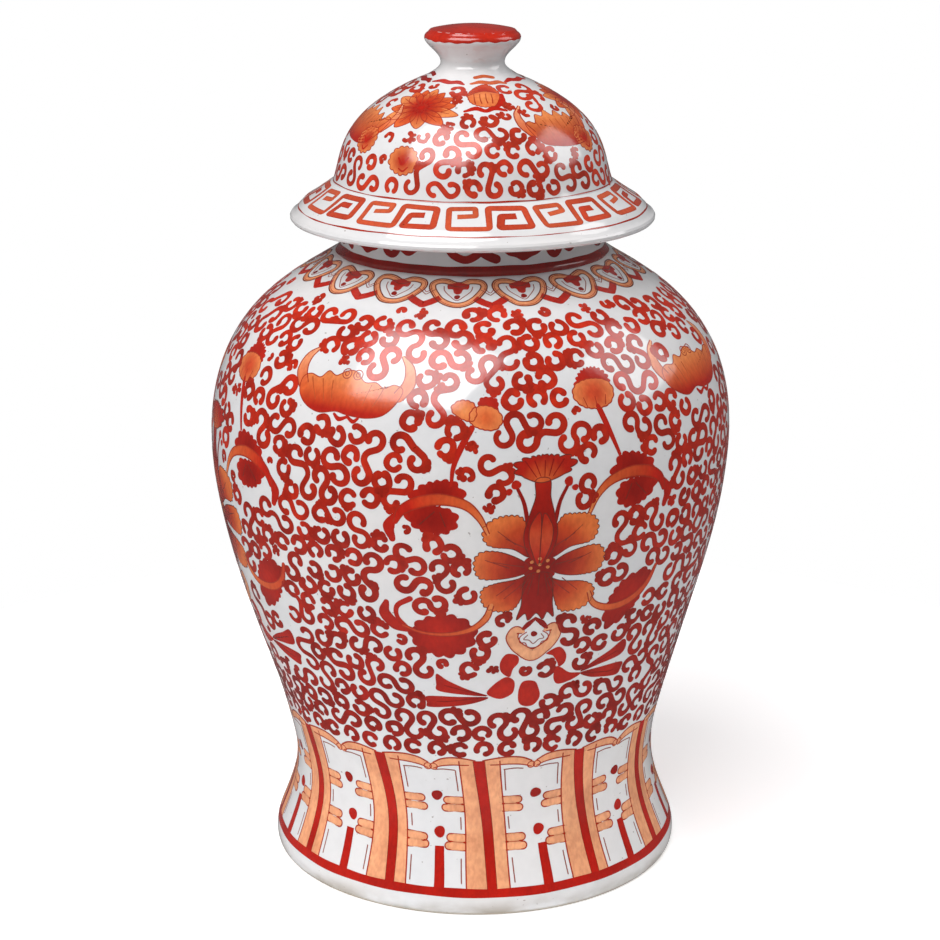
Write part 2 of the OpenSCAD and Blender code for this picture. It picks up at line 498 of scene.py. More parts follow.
def glaze():
    """Clear bluish-white glaze: faint clouding, iron specks, and a soiled, worn foot."""
    f = Finish("glazed_porcelain", 0.09)
    cloud = f.ramp(f.noise(9.0, 4.0), (0.32, rgb(222, 226, 228)), (0.68, rgb(234, 234, 233)))
    fine = f.ramp(f.noise(160.0, 2.0), (0.3, (0.965, 0.965, 0.965)), (0.6, WHITE))
    white = f.mix(1.0, cloud, fine, "MULTIPLY")
    speck = f.ramp(f.noise(420.0, 1.0), (0.755, BLACK), (0.785, WHITE))
    white = f.mix(f.times(speck, 0.55), white, rgb(120, 104, 92))
    dirt = f.ramp(f.noise(34.0, 5.0, (1.0, 1.0, 2.4)), (0.36, BLACK), (0.66, WHITE))
    soiled = f.times(f.times(f.below(0.0015, 0.0105), dirt), 0.75)
    white = f.mix(soiled, white, rgb(150, 140, 122))
    white = f.mix(f.below(0.0006, 0.0022), white, rgb(176, 168, 152))
    return f.done(white, (f.noise(14.0, 2.0), 0.35, 0.0022), (f.noise(95.0, 2.0), 0.10, 0.0006))


def enamel():
    """Iron-red overglaze enamel: the brushed colour, thick and thin, with a little brush drag and pooling."""
    f = Finish("iron_red_enamel", 0.16)
    paint = f.nodes.new("ShaderNodeAttribute")
    paint.attribute_name = "paint"
    pool = f.ramp(f.noise(70.0, 3.0), (0.28, (0.88, 0.82, 0.80)), (0.76, (1.10, 1.20, 1.20)), (0.52, WHITE))
    colour = f.mix(1.0, paint.outputs["Color"], pool, "MULTIPLY")
    drag = f.ramp(f.noise(520.0, 2.0, (1.0, 1.0, 0.5)), (0.35, (0.90, 0.88, 0.88)),
                  (0.62, (1.04, 1.08, 1.08)))
    colour = f.mix(1.0, colour, drag, "MULTIPLY")
    return f.done(colour, (f.noise(14.0, 2.0), 0.35, 0.0022), (f.noise(260.0, 2.0), 0.16, 0.0004))


def bare():
    """Unglazed white paste of the lid's flange: matt, warm, finely gritty."""
    f = Finish("bare_porcelain", 0.72)
    paste = f.ramp(f.noise(45.0, 5.0), (0.34, rgb(205, 196, 182)), (0.66, rgb(226, 220, 208)))
    grit = f.ramp(f.noise(900.0, 1.0), (0.3, (0.88, 0.87, 0.85)), (0.55, WHITE))
    return f.done(f.mix(1.0, paste, grit, "MULTIPLY"), (f.noise(700.0, 3.0), 0.35, 0.0004))


BLACK, WHITE, GLAZE_IOR = (0, 0, 0), (1, 1, 1), 1.78
GLAZE, ENAMEL, BARE = glaze(), enamel(), bare()


# ---------------------------------------------------------------- the porcelain

for node, body, skin in (("foot", "jar", JAR), ("lower_body", "jar", JAR), ("shoulder", "jar", JAR),
                         ("neck", "jar", JAR), ("lid_dome", "lid", LID), ("lid_flange", "lid", None),
                         ("lid_knob", "lid", LID)):
    piece = lathe(node + "_porcelain", node, skin, warp=thrown if body == "jar" else true)
    piece.data.materials.append(GLAZE if skin else BARE)
    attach(piece, body)
    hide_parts(node)


# ---------------------------------------------------------------- colours and drawing helpers

RED, DEEP, BAND = rgb(186, 28, 6), rgb(144, 14, 2), rgb(180, 20, 2)
ORANGE, AMBER, PEACH = rgb(222, 98, 46), rgb(236, 140, 78), rgb(238, 166, 122)
LINE, GREY_LINE, DARK_LINE = rgb(168, 44, 24), rgb(150, 78, 66), rgb(112, 40, 28)


def curve(points, n=40, closed=False):
    """A smooth curve through (azimuth, s) points, n points long."""
    q = np.array(points, float)
    q = np.vstack([q[-1:], q, q[:2]]) if closed else np.vstack([2 * q[:1] - q[1:2], q, 2 * q[-1:] - q[-2:-1]])
    m = len(q) - 3
    t = np.linspace(0, m, n, endpoint=not closed)
    i = np.minimum(t.astype(int), m - 1)
    f = (t - i)[:, None]
    a, b, c, d = q[i], q[i + 1], q[i + 2], q[i + 3]
    out = 0.5 * (2 * b + (c - a) * f + (2 * a - 5 * b + 4 * c - d) * f**2 + (3 * b - a - 3 * c + d) * f**3)
    return out[:, 0], out[:, 1]


def closed(outline):
    """The (azimuth, s) outline with its first point again at the end."""
    return [np.append(v, v[0]) for v in outline]


def bent(points, soft=0.18, step=1.44):
    """A path of straight runs with slightly rounded corners."""
    q = np.array(points, float)
    out = [q[0]]
    for a, b, c in zip(q, q[1:], q[2:]):
        p, r = b + (a - b) * soft * 0.5, b + (c - b) * soft * 0.5
        for t in np.arange(0, 1.01, 0.25):
            out.append((1 - t) ** 2 * p + 2 * t * (1 - t) * b + t * t * r)
    out.append(q[-1])
    full = []
    for a, b in zip(out, out[1:]):
        k = max(1, int(np.hypot(*(b - a)) / step))
        full += [a + (b - a) * j / k for j in range(k)]
    full = np.array(full + [out[-1]])
    return full[:, 0], full[:, 1]


def wobble(rng, n, size, waves=3):
    """A slow unevenness of the hand along n points."""
    t = 2 * math.pi * np.linspace(0, 1, n)
    parts = (rng.uniform(-1, 1) * np.sin((k + 1) * t + rng.uniform(0, 6.3)) for k in range(waves))
    return sum(parts) * size / waves


def ripple(az, rng, size, counts):
    """A fine unevenness round a ring, with that many waves to the turn."""
    return sum(np.sin(np.radians(az) * k + rng.uniform(0, 6.3)) * size for k in counts)


def spread_over(values, n):
    """n values eased along the given ones, or n times the one value."""
    if np.size(values) == 1:
        return np.full(n, float(values))
    return np.interp(np.linspace(0, 1, n), np.linspace(0, 1, len(values)), values)


def band(film, s0, s1, colour, rng, rough=0.25, lift=0.07, cells=3):
    """A painted ring from s0 to s1 all the way round."""
    az = np.linspace(-180, 180, 361)
    low = s0 + ripple(az, rng, rough / 2, (3, 7, 17))
    high = s1 + ripple(az, rng, rough / 2, (4, 9, 21))
    f = np.linspace(0, 1, cells + 1)[None, :]
    s = low[:, None] * (1 - f) + high[:, None] * f
    az = np.repeat(az[:, None], cells + 1, 1)
    shade = 1 + 0.10 * np.sin(np.radians(az) * 5 + 1.0) * np.sin(np.radians(az) * 11)
    film.sheet(az, s, colour * shade[..., None], lift)


def hem(film, outer, inner, colour, lift, cells=2):
    """A film between two closed outlines with the same number of points."""
    (a0, s0), (a1, s1) = outer, inner
    f = np.linspace(0, 1, cells + 1)[None, :]
    az = a0[:, None] * (1 - f) + a1[:, None] * f
    ss = s0[:, None] * (1 - f) + s1[:, None] * f
    az, ss = np.vstack([az, az[:1]]), np.vstack([ss, ss[:1]])
    film.sheet(az, ss, colour, lift)


def shrink(film, az, s, by):
    """The closed outline moved inwards by that many mm."""
    k = film.skin.per_degree(s)
    gx = (np.roll(az, -1) - np.roll(az, 1)) * k
    gy = np.roll(s, -1) - np.roll(s, 1)
    d = np.maximum(np.hypot(gx, gy), 1e-9)
    side = 1 if (np.roll(s, -1) * az - s * np.roll(az, -1)).sum() > 0 else -1
    return az - side * gy / d * by / k, s + side * gx / d * by


# ---------------------------------------------------------------- the jar's borders

PANELS, PANEL_TOP, PANEL_FOOT = 12, 89.5, 15.2
ACROSS = np.linspace(0, 1, 8)[None, :]  # from the left edge of an upright to its right edge


def paint_foot_border():
    """Upright panels round the foot, between leaning red stripes, each with hooks, two dots and a bar."""
    film, rng = Film(JAR), random.Random(11)
    band(film, 10.8, 15.6, BAND, rng, lift=0.10)
    down = np.linspace(0, 1, 24)  # 0 at the top of the panels, 1 at the foot band
    s = PANEL_TOP + (PANEL_FOOT - PANEL_TOP) * down
    side_by_side = np.repeat(s[:, None], 8, 1)
    stripes = [(2.2 + 30 * k + rng.uniform(-0.7, 0.7), rng.uniform(2.1, 3.7)) for k in range(PANELS)]
    for k, (top, lean) in enumerate(stripes):
        before = stripes[k - 1][0] - (360 if k == 0 else 0)
        mid = top + lean * down + 0.35 * np.sin(down * 3.1)
        left = top - 5.7 + 1.8 * down + 0.25 * np.sin(down * 5 + k)
        right = top + 6.0 + 2.1 * down + 0.25 * np.sin(down * 4 + 2 * k)
        shade = 1 + 0.05 * np.sin(down[:, None] * 6 + k) + 0.05 * np.cos(ACROSS * 9 + k)
        upright = left[:, None] * (1 - ACROSS) + right[:, None] * ACROSS
        film.sheet(upright, side_by_side, PEACH * shade[..., None], 0.05)
        half = (1.55 - 0.35 * down)[:, None]
        red = BAND * (1.0 + 0.12 * np.sin(down * 7 + k))[:, None, None]
        film.sheet(mid[:, None] + half * np.linspace(-1, 1, 4)[None, :], side_by_side[:, :4], red, 0.09)
        film.stroke(left, s, 0.75, LINE, 0.10, ends=CUT)
        film.stroke(right, s, 0.75, LINE, 0.10, ends=CUT)
        for edge, way in ((left, -1), (right, 1)):
            film.stroke(mid + way * (half[:, 0] + 0.12), s, 0.4, DEEP, 0.10, ends=CUT)
        centre = (top + before) / 2 + 0.9
        for way, start in ((-1, top), (1, before)):
            bracket(film, way, start, centre - way * 0.85, k)
        # thin lines inside the panel
        inner_r, inner_l = left - 1.35, before + 6.0 + 2.1 * down + 1.35
        for low, high in ((68.5, 83.5), (47, 56), (17, 34)):
            pick = (s > low) & (s < high)
            film.stroke(inner_r[pick], s[pick], 0.65, GREY_LINE, 0.10)
            film.stroke(inner_l[pick], s[pick], 0.65, GREY_LINE, 0.10)
        for way, inner in ((-1, inner_r[0]), (1, inner_l[0])):
            corner = curve([(inner, 83.4), (inner + way * 3.2, 83.8), (inner + way * 5.6, 83.2)], 12)
            film.stroke(*corner, 0.65, GREY_LINE, 0.10)
        for high in (61.8, 40.2):
            where = (PANEL_TOP - high) / (PANEL_TOP - PANEL_FOOT)
            for way, edge in ((-1, top - 5.7 + 1.8 * where), (1, before + 6.0 + 2.1 * where)):
                for row, length in ((2.3, 4.6 + rng.uniform(-0.3, 0.3)),
                                    (-2.3, 5.2 + rng.uniform(-0.3, 0.3))):
                    finger(film, way, edge, high, row, length, rng)
        film.dot(centre + 0.6 + rng.uniform(-0.5, 0.5), 66.8, 3.0, DEEP * 1.15, 0.10, seed=k)
        film.dot(centre + 1.6 + rng.uniform(-0.6, 0.6), 45.6, 3.1, BAND, 0.10, seed=k + 5)
        bar = centre + 2.2 + rng.uniform(-0.4, 0.4)
        y = np.linspace(37.8, 15.4, 12)
        film.stroke(bar + 0.3 * np.sin(y / 9.0), y, np.linspace(5.0, 5.7, 12), BAND, 0.09, ends=CUT)
    film.piece("foot_border_enamel", "jar")


def bracket(film, way, start, curl, seed):
    """One arm of the bracket over a panel, from its stripe to the curl where the two arms meet."""
    reach, curl_s, curl_r = curl - start, 85.2, 2.0
    path = [(0.30, 88.9), (0.58, 89.2), (0.82, 88.2)]
    a, s = curve([(start + way * 1.0, 88.3), *((start + f * reach, y) for f, y in path), (curl, 86.0)], 30)
    t = np.linspace(0, 1, 30)
    width = 2.8 + 2.6 * np.sin(t * 2.6) * (1 - 0.3 * t)
    film.stroke(a, s, width, PEACH * 0.97, 0.065)
    film.stroke(a, s + width / 2, 0.85, LINE, 0.10, ends=(False, True))
    film.stroke(a[5:], (s - width / 2)[5:], 0.7, LINE, 0.10)
    film.dot(curl, curl_s, curl_r, PEACH, 0.085, seed=seed)
    round_it = np.linspace(0, 2 * math.pi, 20)
    x = curl + curl_r * np.cos(round_it) / JAR.per_degree(curl_s)
    film.stroke(x, curl_s + curl_r * np.sin(round_it), 0.6, LINE, 0.105, ends=CUT)


def finger(film, way, edge, high, row, length, rng):
    """A finger-shaped hook pointing into a panel, with a line round its tip."""
    tilt = rng.uniform(-0.5, 0.5)
    low = high + row
    x = np.linspace(edge - way * 1.0, edge + way * length, 10)
    tone = PEACH * rng.uniform(0.94, 1.03)
    film.stroke(x, np.linspace(low, low + tilt, 10), 4.3, tone, 0.065, ends=(False, True))
    a = np.radians(np.linspace(-90, 90, 9) * way)
    tip = edge + way * (length + 0.1) + way * 2.1 * np.cos(a) / JAR.per_degree(high)
    y = np.concatenate([[low - 2.1 * way], low + tilt + 2.1 * np.sin(a), [low + 2.1 * way]])
    film.stroke(np.concatenate([[edge], tip, [edge]]), y, 0.7, LINE, 0.10)


def mirrored(half, *ends):
    """A symmetrical outline from the points of its right half, between its end points on the axis."""
    return [*half, *ends, *((-x, y) for x, y in half[::-1])]


HEADS, HEAD_TURN = 16, -5.0  # cloud heads round the collar, and the azimuth of the first


def paint_collar():
    """The red ring at the root of the neck, the cloud heads below it, and the red chevrons between them."""
    film, rng = Film(JAR), random.Random(12)
    # the ring is real red enamel, but it is painted in the darker DEEP red instead of BAND partly as painted
    # shade from the lid's brim above it
    band(film, 377.0, 382.6, DEEP, rng, lift=0.08, cells=4)
    half = [(3.2, 354.7), (6.2, 358.2), (8.6, 362.6), (10.2, 366.8), (10.5, 370.6), (9.2, 373.6),
            (6.6, 374.9), (3.6, 374.5), (1.3, 373.0)]
    head = [(0, 353.6), *mirrored(half, (0.0, 372.3))]
    smile = [(-5.2, 369.0), (-4.6, 365.8), (-2.4, 362.0), (0, 358.9), (2.4, 362.0), (4.6, 365.8),
             (5.2, 369.0)]
    heart = [(-3.9, 370.6), (-3.6, 367.3), (-1.9, 367.0), (-1.2, 364.4), (0, 363.4), (1.2, 364.4),
             (1.9, 367.0), (3.6, 367.3), (3.9, 370.6), (1.6, 371.6), (0, 372.6), (-1.6, 371.6)]
    for k in range(HEADS):
        c = HEAD_TURN + 360 / HEADS * k + rng.uniform(-0.4, 0.4)
        wide = rng.uniform(0.97, 1.03)
        outline = [(c + x * wide + rng.uniform(-0.12, 0.12), y + rng.uniform(-0.2, 0.2)) for x, y in head]
        outer = curve(outline, 96, closed=True)
        hem(film, outer, shrink(film, *outer, 3.7), AMBER * 0.45 + PEACH * 0.55, 0.06)
        for by, width, tone in ((0.3, 0.75, DARK_LINE), (1.3, 0.35, LINE), (3.5, 0.65, DARK_LINE)):
            film.stroke(*closed(shrink(film, *outer, by)), width, tone, 0.095, ends=CUT)
        film.stroke(*curve([(c + x, y) for x, y in smile], 30), 0.5, GREY_LINE, 0.08)
        x, y = curve([(c + x, y) for x, y in heart], 48, closed=True)
        film.patch(x, y, (c, 368.6), RED * 0.92, 0.085)
        film.dot(c, 361.4, 1.55, DEEP, 0.09, seed=k)
        v = c + 180 / HEADS
        bend = (v + rng.uniform(-0.3, 0.3), 355.1)
        x, y = bent([(v - 5.3, 360.6), (v - 2.5, 357.4), bend, (v + 2.5, 357.4), (v + 5.3, 360.6)])
        film.stroke(x, y, 4.3, RED * rng.uniform(0.9, 1.06), 0.075, ends=CUT)
        film.stroke(*bent([(v - 3.1, 366.8), (v, 362.6), (v + 3.1, 366.8)]), 0.5, GREY_LINE, 0.075)
        film.stroke(*curve([(v - 1.6, 367.5), (v, 364.5), (v + 1.6, 367.5)], 10), 0.4, LINE, 0.075)
    film.piece("collar_enamel", "jar")


paint_foot_border()
paint_collar()


# ---------------------------------------------------------------- flowers, leaves, bats and ribbons

class Claimed:
    """Where paint already lies on a skin, as samples (azimuth, s, reach in mm)."""

    def __init__(self, skin):
        self.skin, self.rows = skin, []

    def add(self, az, s, reach):
        az, s = np.ravel(az), np.ravel(s)
        self.rows.append(np.stack([az, s, np.broadcast_to(reach, az.shape)], 1))

    def fill(self, az, s, centre, rings):
        """Claims an outline and what it goes round: rings are (share of the way out, reach)."""
        for g, reach in rings:
            self.add(centre[0] + (az - centre[0]) * g, centre[1] + (s - centre[1]) * g, reach)

    def gap(self, az, s):
        """Free distance in mm from each point to the nearest claimed paint, and the way off it."""
        rows = np.concatenate(self.rows)
        out, away = np.full(len(az), 99.0), np.zeros((len(az), 2))
        k = self.skin.per_degree(s)
        for i in range(len(az)):
            near = rows[np.abs(rows[:, 1] - s[i]) < LOOK]
            dx = wrap(az[i] - near[:, 0])
            close = np.abs(dx) * k[i] < LOOK
            near, dx = near[close], dx[close] * k[i]
            if len(near):
                dy = s[i] - near[:, 1]
                d = np.hypot(dx, dy)
                j = np.argmin(d - near[:, 2])
                out[i] = (d - near[:, 2])[j]
                away[i] = dx[j] / max(d[j], 1e-6), dy[j] / max(d[j], 1e-6)
        return out, away

    def spots(self, az, s, least, size_of):
        """The free spots among those points, widest first and apart: (azimuth, s, gap, size)."""
        gap, kept = self.gap(np.array(az), np.array(s))[0], []
        for i in sorted(range(len(az)), key=lambda i: -gap[i]):
            if gap[i] < least:
                break
            k, size = self.skin.per_degree(s[i]), size_of(gap[i])
            if all(math.hypot(wrap(az[i] - q[0]) * k, s[i] - q[1]) > size + q[3] + 0.5 for q in kept):
                kept.append((az[i], s[i], gap[i], size))
        return kept


LOOK = 22.0  # how far Claimed.gap looks, mm


def wrap(turn):
    """A difference of azimuths as -180 to 180."""
    return (turn + 180) % 360 - 180


class Brush:
    """Draws motifs at (turn + azimuth, rise + s), a little out of true, and claims the room they take."""

    def __init__(self, film, claimed, seed, turn=0.0, rise=0.0, way=1):
        self.film, self.claimed, self.rng = film, claimed, random.Random(seed)
        self.turn, self.rise, self.way = turn, rise, way

    def place(self, az, s):
        return self.turn + self.way * np.asarray(az, float), self.rise + np.asarray(s, float)

    def points(self, pts, jitter):
        k = self.film.skin.per_degree(self.rise + pts[0][1])
        spread = self.rng.uniform
        return [(a + spread(-jitter, jitter) / k, s + spread(-jitter, jitter)) for a, s in pts]

    def blot(self, pts, centre, shade, lift=0.07, scallops=0, depth=0.0, focus=None, line=None,
             line_width=0.6, n=84, jitter=0.35):
        """A filled shape through pts; shade is (colours from the inside out, near mm, far mm), as measured
        from the focus, which is the centre unless it is given."""
        a, s = self.place(*curve(self.points(pts, jitter), n, closed=True))
        ca, cs = (float(v) for v in self.place(*centre))
        k = self.film.skin.per_degree(cs)
        dx, dy = (a - ca) * k, s - cs
        f = (ca, cs) if focus is None else tuple(float(v) for v in self.place(*focus))
        if scallops:
            t = np.arctan2(dy, dx)
            far_off = np.hypot((a - f[0]) * k, s - f[1])
            most = far_off.max()
            w = np.clip((far_off - 0.55 * most) / (0.25 * most), 0, 1) if focus is not None else 1.0
            grow = 1 + depth * w * (np.abs(np.sin(t * scallops / 2 + 0.4)) - 0.55)
            dx, dy = dx * grow, dy * grow
        a, s = ca + dx / k, cs + dy
        *stops, near, far = shade

        def colour(out, az, ss):
            d = np.hypot((az - f[0]) * k, ss - f[1])
            t = np.clip((d - near) / (far - near), 0, 1)
            at = np.linspace(0, 1, len(stops))
            return np.stack([np.interp(t, at, [c[i] for c in stops]) for i in range(3)], 1)

        self.film.patch(a, s, (ca, cs), colour, lift)
        self.claimed.fill(a, s, (ca, cs), ((0.35, 3.2), (0.7, 2.6), (1.0, 0.5)))
        if line is not None:
            self.film.stroke(*closed((a, s)), line_width, line, lift + 0.025, ends=CUT)

    def stroke(self, pts, width, colour, lift=0.08, n=26, jitter=0.25, claim=True):
        a, s = self.place(*curve(self.points(pts, jitter), n))
        width = spread_over(width, n)
        if np.ndim(colour) == 2:
            t, at = np.linspace(0, 1, n), np.linspace(0, 1, len(colour))
            colour = np.stack([np.interp(t, at, colour[:, i]) for i in range(3)], 1)
        self.film.stroke(a, s, width, colour, lift, edge=0.88)
        if claim:
            self.claimed.add(a, s, width / 2)
        return a, s

    def line(self, pts, width, colour, lift=0.11, n=26, jitter=0.25):
        """A fine stroke over paint that is already there."""
        self.stroke(pts, width, colour, lift, n, jitter, claim=False)

    def edged(self, pts, width, colour, lift=0.07, n=26):
        """A stroke with a thin dark line down both sides."""
        a, s = self.stroke(pts, width, colour, lift, n)
        w = spread_over(width, n)
        k = self.film.skin.per_degree(s)
        gx, gy = np.gradient(a) * k, np.gradient(s)
        d = np.maximum(np.hypot(gx, gy), 1e-9)
        for side in (-1, 1):
            x, y = a - side * gy / d * w / 2 / k, s + side * gx / d * w / 2
            self.film.stroke(x, y, 0.6, LINE, lift + 0.03)

    def dot(self, az, s, radius, colour, lift=0.1):
        a, c = (float(v) for v in self.place(az, s))
        self.film.dot(a, c, radius, colour, lift, seed=self.rng.uniform(0, 9))
        self.claimed.add(a, c, radius)

    def bat(self, body, n, centre, height, tones, line_width, rings):
        """A bat's body with a dark outline, shaded over that height from its red underside up."""
        a, s = self.place(*curve(self.points(body, 0.3), n, closed=True))
        ca, cs = (float(v) for v in self.place(*centre))

        def shade(out, az, ss):
            t = np.clip((ss - (cs - 8)) / height, 0, 1)[:, None]
            return tones[0] * (1 - t) ** 2 + tones[1] * 2 * t * (1 - t) + AMBER * t**2

        self.film.patch(a, s, (ca, cs), shade, 0.075)
        self.film.stroke(*closed((a, s)), line_width, LINE, 0.10, ends=CUT)
        self.claimed.fill(a, s, (ca, cs), rings)


def lotus(b):
    """The open lotus with its pistil, crown and stamens, centred on azimuth 0, s 211.7."""
    core, heart = (0.0, 211.7), (DEEP, rgb(172, 36, 12), rgb(204, 72, 28), rgb(232, 118, 56), 8.0, 33.0)
    fold = dict(scallops=26, depth=0.085, focus=core, line=DARK_LINE, line_width=0.45, n=150)
    for way in (-1, 1):
        w, up = (1.0, 0.0) if way < 0 else (1.07, -1.0)
        upper = [(2.2, 218), (6.0, 222.6), (10.2, 224.6), (11.8, 229), (11.6, 235), (9.8, 239.4),
                 (6.6, 241.0), (4.0, 239.6), (2.6, 231)]
        b.blot([(way * x * w, y + up) for x, y in upper], (way * 6.4 * w, 229.5), heart, 0.070, **fold)
        middle = [(2.2, 213.0), (4.6, 218.0), (8.4, 221.4), (11.8, 221.8), (13.4, 217.5), (13.4, 211),
                  (11.8, 206.4), (7.0, 206.4), (3.0, 208.8)]
        b.blot([(way * x * w * 1.02, y + up) for x, y in middle], (way * 8.2 * w, 213.4), heart, 0.075,
               **fold)
        lower = [(1.8, 208.0), (4.8, 205.8), (9.2, 203.6), (11.9, 200.2), (12.3, 194.5), (11.0, 189.2),
                 (8.4, 186.6), (5.4, 187.4), (4.0, 192), (3.0, 200)]
        b.blot([(way * x * w, y + up * 3) for x, y in lower], (way * 7.2 * w, 197.0), heart, 0.080, **fold)
    tail = [(-2.3, 208), (-3.3, 200), (-3.5, 190), (-4.3, 181.5), (-2.5, 184.8), (-1.7, 180.5), (0, 184.6),
            (1.6, 180.5), (2.5, 184.8), (4.1, 181.5), (3.5, 190), (3.3, 200), (2.3, 208)]
    b.blot(tail, (0, 195), (DEEP, DEEP * 1.1 + RED * 0.12, 5.0, 26.0), 0.085, focus=core, line=DARK_LINE,
           line_width=0.5, n=120, jitter=0.15)
    b.blot([(3.4 * math.cos(t), 211.7 + 9.5 * math.sin(t))
            for t in np.linspace(0, 2 * math.pi, 12, endpoint=False)], core,
            (DEEP * 0.95, DEEP * 1.15, 0.0, 9.0), 0.092, scallops=8, depth=0.2)
    stem = [(0, 213), (-2.6, 220), (-3.5, 230), (-2.7, 240), (-1.6, 250), (-1.5, 259), (1.5, 259), (1.7, 250),
            (2.8, 240), (3.5, 230), (2.6, 220)]
    b.blot(stem, (0, 232), (DEEP * 1.1, RED * 0.9, 4.0, 26.0), 0.097, line=DARK_LINE, line_width=0.5, n=100)
    for way in (-1, 1):
        b.blot([(way * 0.2, 214), (way * 1.9, 222), (way * 2.6, 230), (way * 2.0, 236.5),
                (way * 0.25, 240.5)], (way * 1.3, 229), (rgb(206, 72, 34), RED, 2.0, 12.0), 0.11,
                line=DARK_LINE, line_width=0.5)
    for a, s in ((0, 216.6), (-1.7, 215.0), (1.7, 215.2), (-1.9, 211.6), (1.8, 211.5), (0, 213.3),
                 (-0.2, 209.6)):
        b.dot(a, s, 0.95, AMBER * 0.8, 0.13)
    for t in (-52, -27, 0, 27, 52):
        t = math.radians(t)
        b.line([(2.6 * math.sin(t), 207.5), (5.0 * math.sin(t), 207 - 12 * math.cos(t))], (0.5, 0.35),
               DARK_LINE)
    for way in (-1, 1):
        for low, high in ((3.5, 9.8), (6.5, 11.5)):
            b.line([(way * low, 212.5), (way * high, 214 + low / 2)], (0.55, 0.3), DARK_LINE * 1.3)
            b.line([(way * low * 0.8, 219 + low), (way * (high - 2.5), 224 + low * 1.4)], (0.5, 0.3),
                   DARK_LINE * 1.3)
            b.line([(way * low * 0.8, 204), (way * (high - 2.5), 193 + low / 2)], (0.5, 0.3), DARK_LINE * 1.3)
        b.stroke([(way * 2.9, 237), (way * 3.8, 247), (way * 5.2, 255)], (2.4, 2.0, 1.7), DEEP * 1.1, 0.09)
        b.dot(way * 5.5, 257.0, 2.4, RED, 0.1)
        b.dot(way * 6.9, 253.5, 1.7, RED, 0.1)
    crown = [(0, 257.5), (-3.0, 259.5), (-5.6, 263.5), (-5.2, 268.5), (-2.6, 270.5), (0.4, 271.6),
             (3.4, 270.8), (6.2, 269.2), (6.6, 264.5), (3.6, 259.8)]
    b.blot(crown, (0.3, 264.5), (ORANGE * 0.95, RED * 0.95, 2.0, 12.0), 0.1, scallops=20, depth=0.22,
           focus=(0.3, 258), line=DARK_LINE, line_width=0.5)
    for a in (-3.4, -1.6, 0.4, 2.2, 4.2):
        b.line([(a * 0.45 + 0.2, 260.5), (a * 1.05, 268.5)], (0.45, 0.7), DEEP, 0.125)


def leaf_with_arch(b):
    """A scalloped leaf with a shadowed lower lobe, under a long amber arch that ends in a tendril."""
    red = (DEEP * 1.05, RED, 2.0, 14.0)
    b.blot([(-26.9, 248), (-26.8, 252.5), (-24.6, 256.5), (-21.6, 259.2), (-18.4, 259.6), (-16.6, 255.5),
            (-15.6, 250), (-18.5, 247), (-23, 246.5)], (-21.3, 251.5), red, 0.07, scallops=13, depth=0.17)
    b.blot([(-27.6, 243.5), (-27.0, 237.5), (-24.4, 233), (-21.2, 230.8), (-18.5, 232.5), (-17.2, 237.5),
            (-18.0, 243.5), (-22.5, 246)], (-22.2, 239), red, 0.07, scallops=13, depth=0.15)
    b.edged([(-30.0, 236.5), (-28.6, 243), (-25.2, 247.8), (-20.5, 249.6), (-15.8, 247), (-12.8, 240.5),
             (-10.9, 231.5)], (1.8, 4.6, 6.0, 5.8, 4.6, 3.2, 1.6),
             np.array([RED, RED * 1.15, rgb(206, 76, 34), ORANGE, AMBER * 0.95]), lift=0.09, n=40)
    b.stroke([(-29.5, 241.5), (-31.3, 234.5), (-30.6, 227.5)], (3.0, 6.4, 3.5), RED * 0.95, 0.08)
    b.line([(-24.8, 236), (-21.8, 243.5)], (0.5, 0.4), DARK_LINE)
    b.line([(-19.6, 235.5), (-20.8, 243)], (0.5, 0.4), DARK_LINE)


def low_leaf_left(b):
    red = (RED * 1.05, DEEP * 1.12, 4.0, 18.0)
    b.blot([(-28.2, 174), (-26.2, 180), (-22.8, 183.8), (-18.6, 184.6), (-15.2, 181.2), (-13.2, 175.5),
            (-13.6, 168), (-16.6, 161.5), (-20.2, 158.6), (-24.4, 161.2), (-27.6, 167.5)], (-21, 172.5), red,
            0.07, scallops=13, depth=0.14)
    b.edged([(-9.9, 190.5), (-11.2, 183), (-14.2, 176.2), (-19.5, 173.2), (-25.2, 173.4), (-29.5, 177)],
            (2.6, 3.4, 3.0, 2.2, 1.6, 1.2), np.array([AMBER * 0.95, ORANGE, rgb(206, 76, 34),
                                                      rgb(200, 60, 28)]), lift=0.09, n=36)
    b.stroke([(-28.0, 174.5), (-31.4, 177), (-33.6, 183.5), (-33.0, 190.5)], (3.0, 6.8, 6.6, 3.0), RED * 0.85,
             0.075)
    b.stroke([(-28.5, 176), (-30.8, 182), (-30.6, 189), (-27.5, 193.5)], (1.6, 2.4, 2.8, 3.2), RED * 0.9,
             0.085)


def low_leaf_right(b):
    red = (RED * 0.95, DEEP * 1.1, 4.0, 20.0)
    b.blot([(17.2, 181), (18.4, 189), (20.6, 195.4), (24.4, 199.4), (28.4, 199.2), (29.0, 192), (27.2, 182),
            (24.2, 174), (19.8, 168), (17.4, 171.5)], (22.6, 184.5), red, 0.07, scallops=14, depth=0.14)
    b.edged([(12.1, 193.5), (13.6, 186.5), (16.8, 182.0), (21.0, 181.2), (25.2, 184.0), (28.6, 190.5),
             (30.4, 200.5)], (1.8, 3.0, 3.8, 4.4, 4.2, 3.4, 1.8),
             np.array([AMBER * 0.9, ORANGE, rgb(206, 76, 34), rgb(196, 56, 26)]), lift=0.09, n=40)


